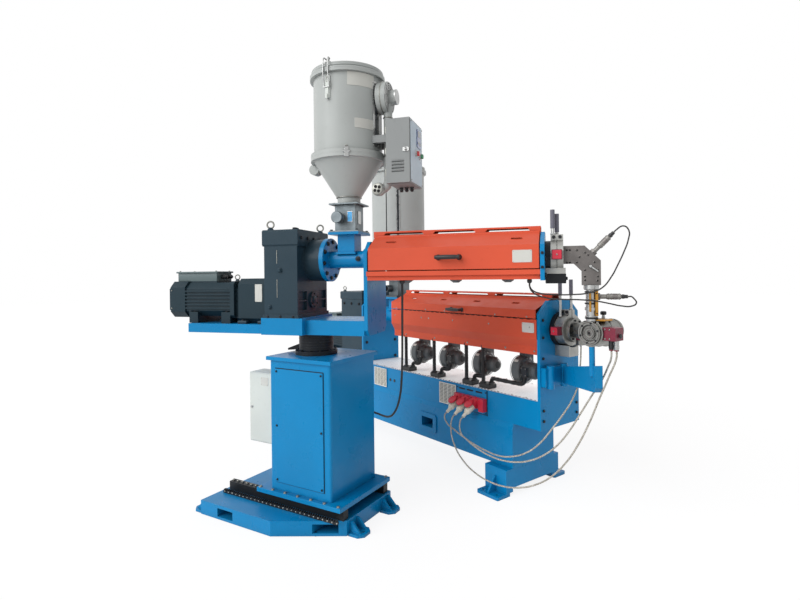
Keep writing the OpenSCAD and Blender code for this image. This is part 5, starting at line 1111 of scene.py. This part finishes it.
def dress_main_hopper():
    """Sight glass, seam, joint and plate bolts of the main hopper, and the main drive's bolts."""
    s = Shape("main_hopper_trim", "grey_paint", MAIN_HOPPER)
    r = MAIN_HOPPER_R
    curved(s, 318, 326, 470, 960, r - 1, 5, CHROME)
    curved(s, 320, 324, 480, 950, r, 5.6, DARK_GLASS)
    # The seam is a dark strip of painted shade.
    curved(s, 296, 297.6, 422, 1008, r - 1, 3.4, RECESS_SHADE)
    joint_trim(s, r, MAIN_HOPPER_JOINT, (40, 160, 280), False)
    for p, q in product((-72, 72), (-72, 72)):
        s.hex((p, q, 140), Z, 6, ZINC)
        s.hex((p * 1.2, q * 1.2, 8), Z, 8)
    s.ring((0, 0, 1026), Z, r + 16, 3, GREY, 72)
    s.ring((0, 0, 172), Z, 67, 4, STEEL, 40)
    s.done()
    d = Shape("main_drive_trim", "slate_paint")
    top = AXIS_H + 190
    for x, y in ((-1890, -150), (-1600, 150)):
        d.eye((x, y, top), 26)
        d.hex((x, -y, top), Z, 14)
    for x, side in product((-1860, -1740, -1620), (-1, 1)):
        d.hex((x, side * 175, AXIS_H + 84), Y * side, 12)
        d.hex((x, side * 169, BOX_TOP + 18), Z, 14)
    motor(d, -2360, BOX_TOP, 140, 270, 46, 150, 62)
    d.done()


# Stage and light

FLOOR_HALF = 30.0
FLOOR_GREY = (0.86, 0.86, 0.86, 1)
FLOOR_GLOW = 1.08
FLOOR_GLOW_SHARE = 0.8
SKY_FILL = 0.5
SKY_SEEN = 1.0


def make_stage():
    """A pale floor that keeps the shadow, and a white background."""
    mesh = bpy.data.meshes.new("floor")
    corners = [(x * FLOOR_HALF, y * FLOOR_HALF, 0) for x, y in ((-1, -1), (1, -1), (1, 1), (-1, 1))]
    mesh.from_pydata(corners, [], [(0, 1, 2, 3)])
    floor = bpy.data.objects.new("floor", mesh)
    bpy.context.collection.objects.link(floor)
    look = Look("pale_floor", 0.9)
    look.colour(FLOOR_GREY)
    path = look.add("ShaderNodeLightPath", {})
    seen = look.math("MAXIMUM", path["Is Camera Ray"],
                     look.math("MAXIMUM", path["Is Glossy Ray"], path["Is Transmission Ray"]))
    white = look.add("ShaderNodeEmission", {"Strength": FLOOR_GLOW})[0]
    share = look.math("MULTIPLY", seen, FLOOR_GLOW_SHARE)
    both = look.add("ShaderNodeMixShader", {0: share, 1: look.out.outputs[0], 2: white})[0]
    look.put(look.nodes["Material Output"], {"Surface": both})
    mesh.materials.append(look.mat)

    world = bpy.data.worlds.new("studio")
    bpy.context.scene.world = world
    sky = Tree(world)
    path = sky.add("ShaderNodeLightPath", {})
    seen = sky.math("MAXIMUM", path["Is Camera Ray"], path["Is Glossy Ray"])
    level = sky.ranged(seen, 0.0, 1.0, SKY_FILL, SKY_SEEN)
    sky.put(sky.nodes["Background"], {"Color": (1, 1, 1, 1), "Strength": level})


def lamp(name, kind, place, aim, energy):
    data = bpy.data.lights.new(name, kind)
    data.energy = energy
    light = bpy.data.objects.new(name, data)
    light.location = place
    light.rotation_euler = (Vector(aim) - Vector(place)).to_track_quat("-Z", "Y").to_euler()
    bpy.context.collection.objects.link(light)
    return light


def make_light():
    """A wide sun from the front, and a weak low lamp behind the deck."""
    key = lamp("key", "SUN", (-0.2, -4.3, 3.5), (0, 0, 1), 2.2)
    key.data.angle = math.radians(50)
    fill = lamp("deck_fill", "AREA", (-0.43, 0.75, 0.86), (-0.43, -0.1, 0.6), 3.6)
    fill.data.shape = "RECTANGLE"
    fill.data.size = 1.7
    fill.data.size_y = 0.2
    fill.data.spread = math.radians(80)
    fill.visible_camera = False


make_camera()
make_cords()
dress_conduits()
dress_blowers()
dress_covers()
dress_aux_drive()
dress_swing()
dress_hopper()
dress_control_box()
dress_pedestal()
dress_base()
dress_main_die()
dress_aux_die()
dress_main_hopper()
make_stage()
make_light()
bpy.context.scene.view_settings.view_transform = "Standard"
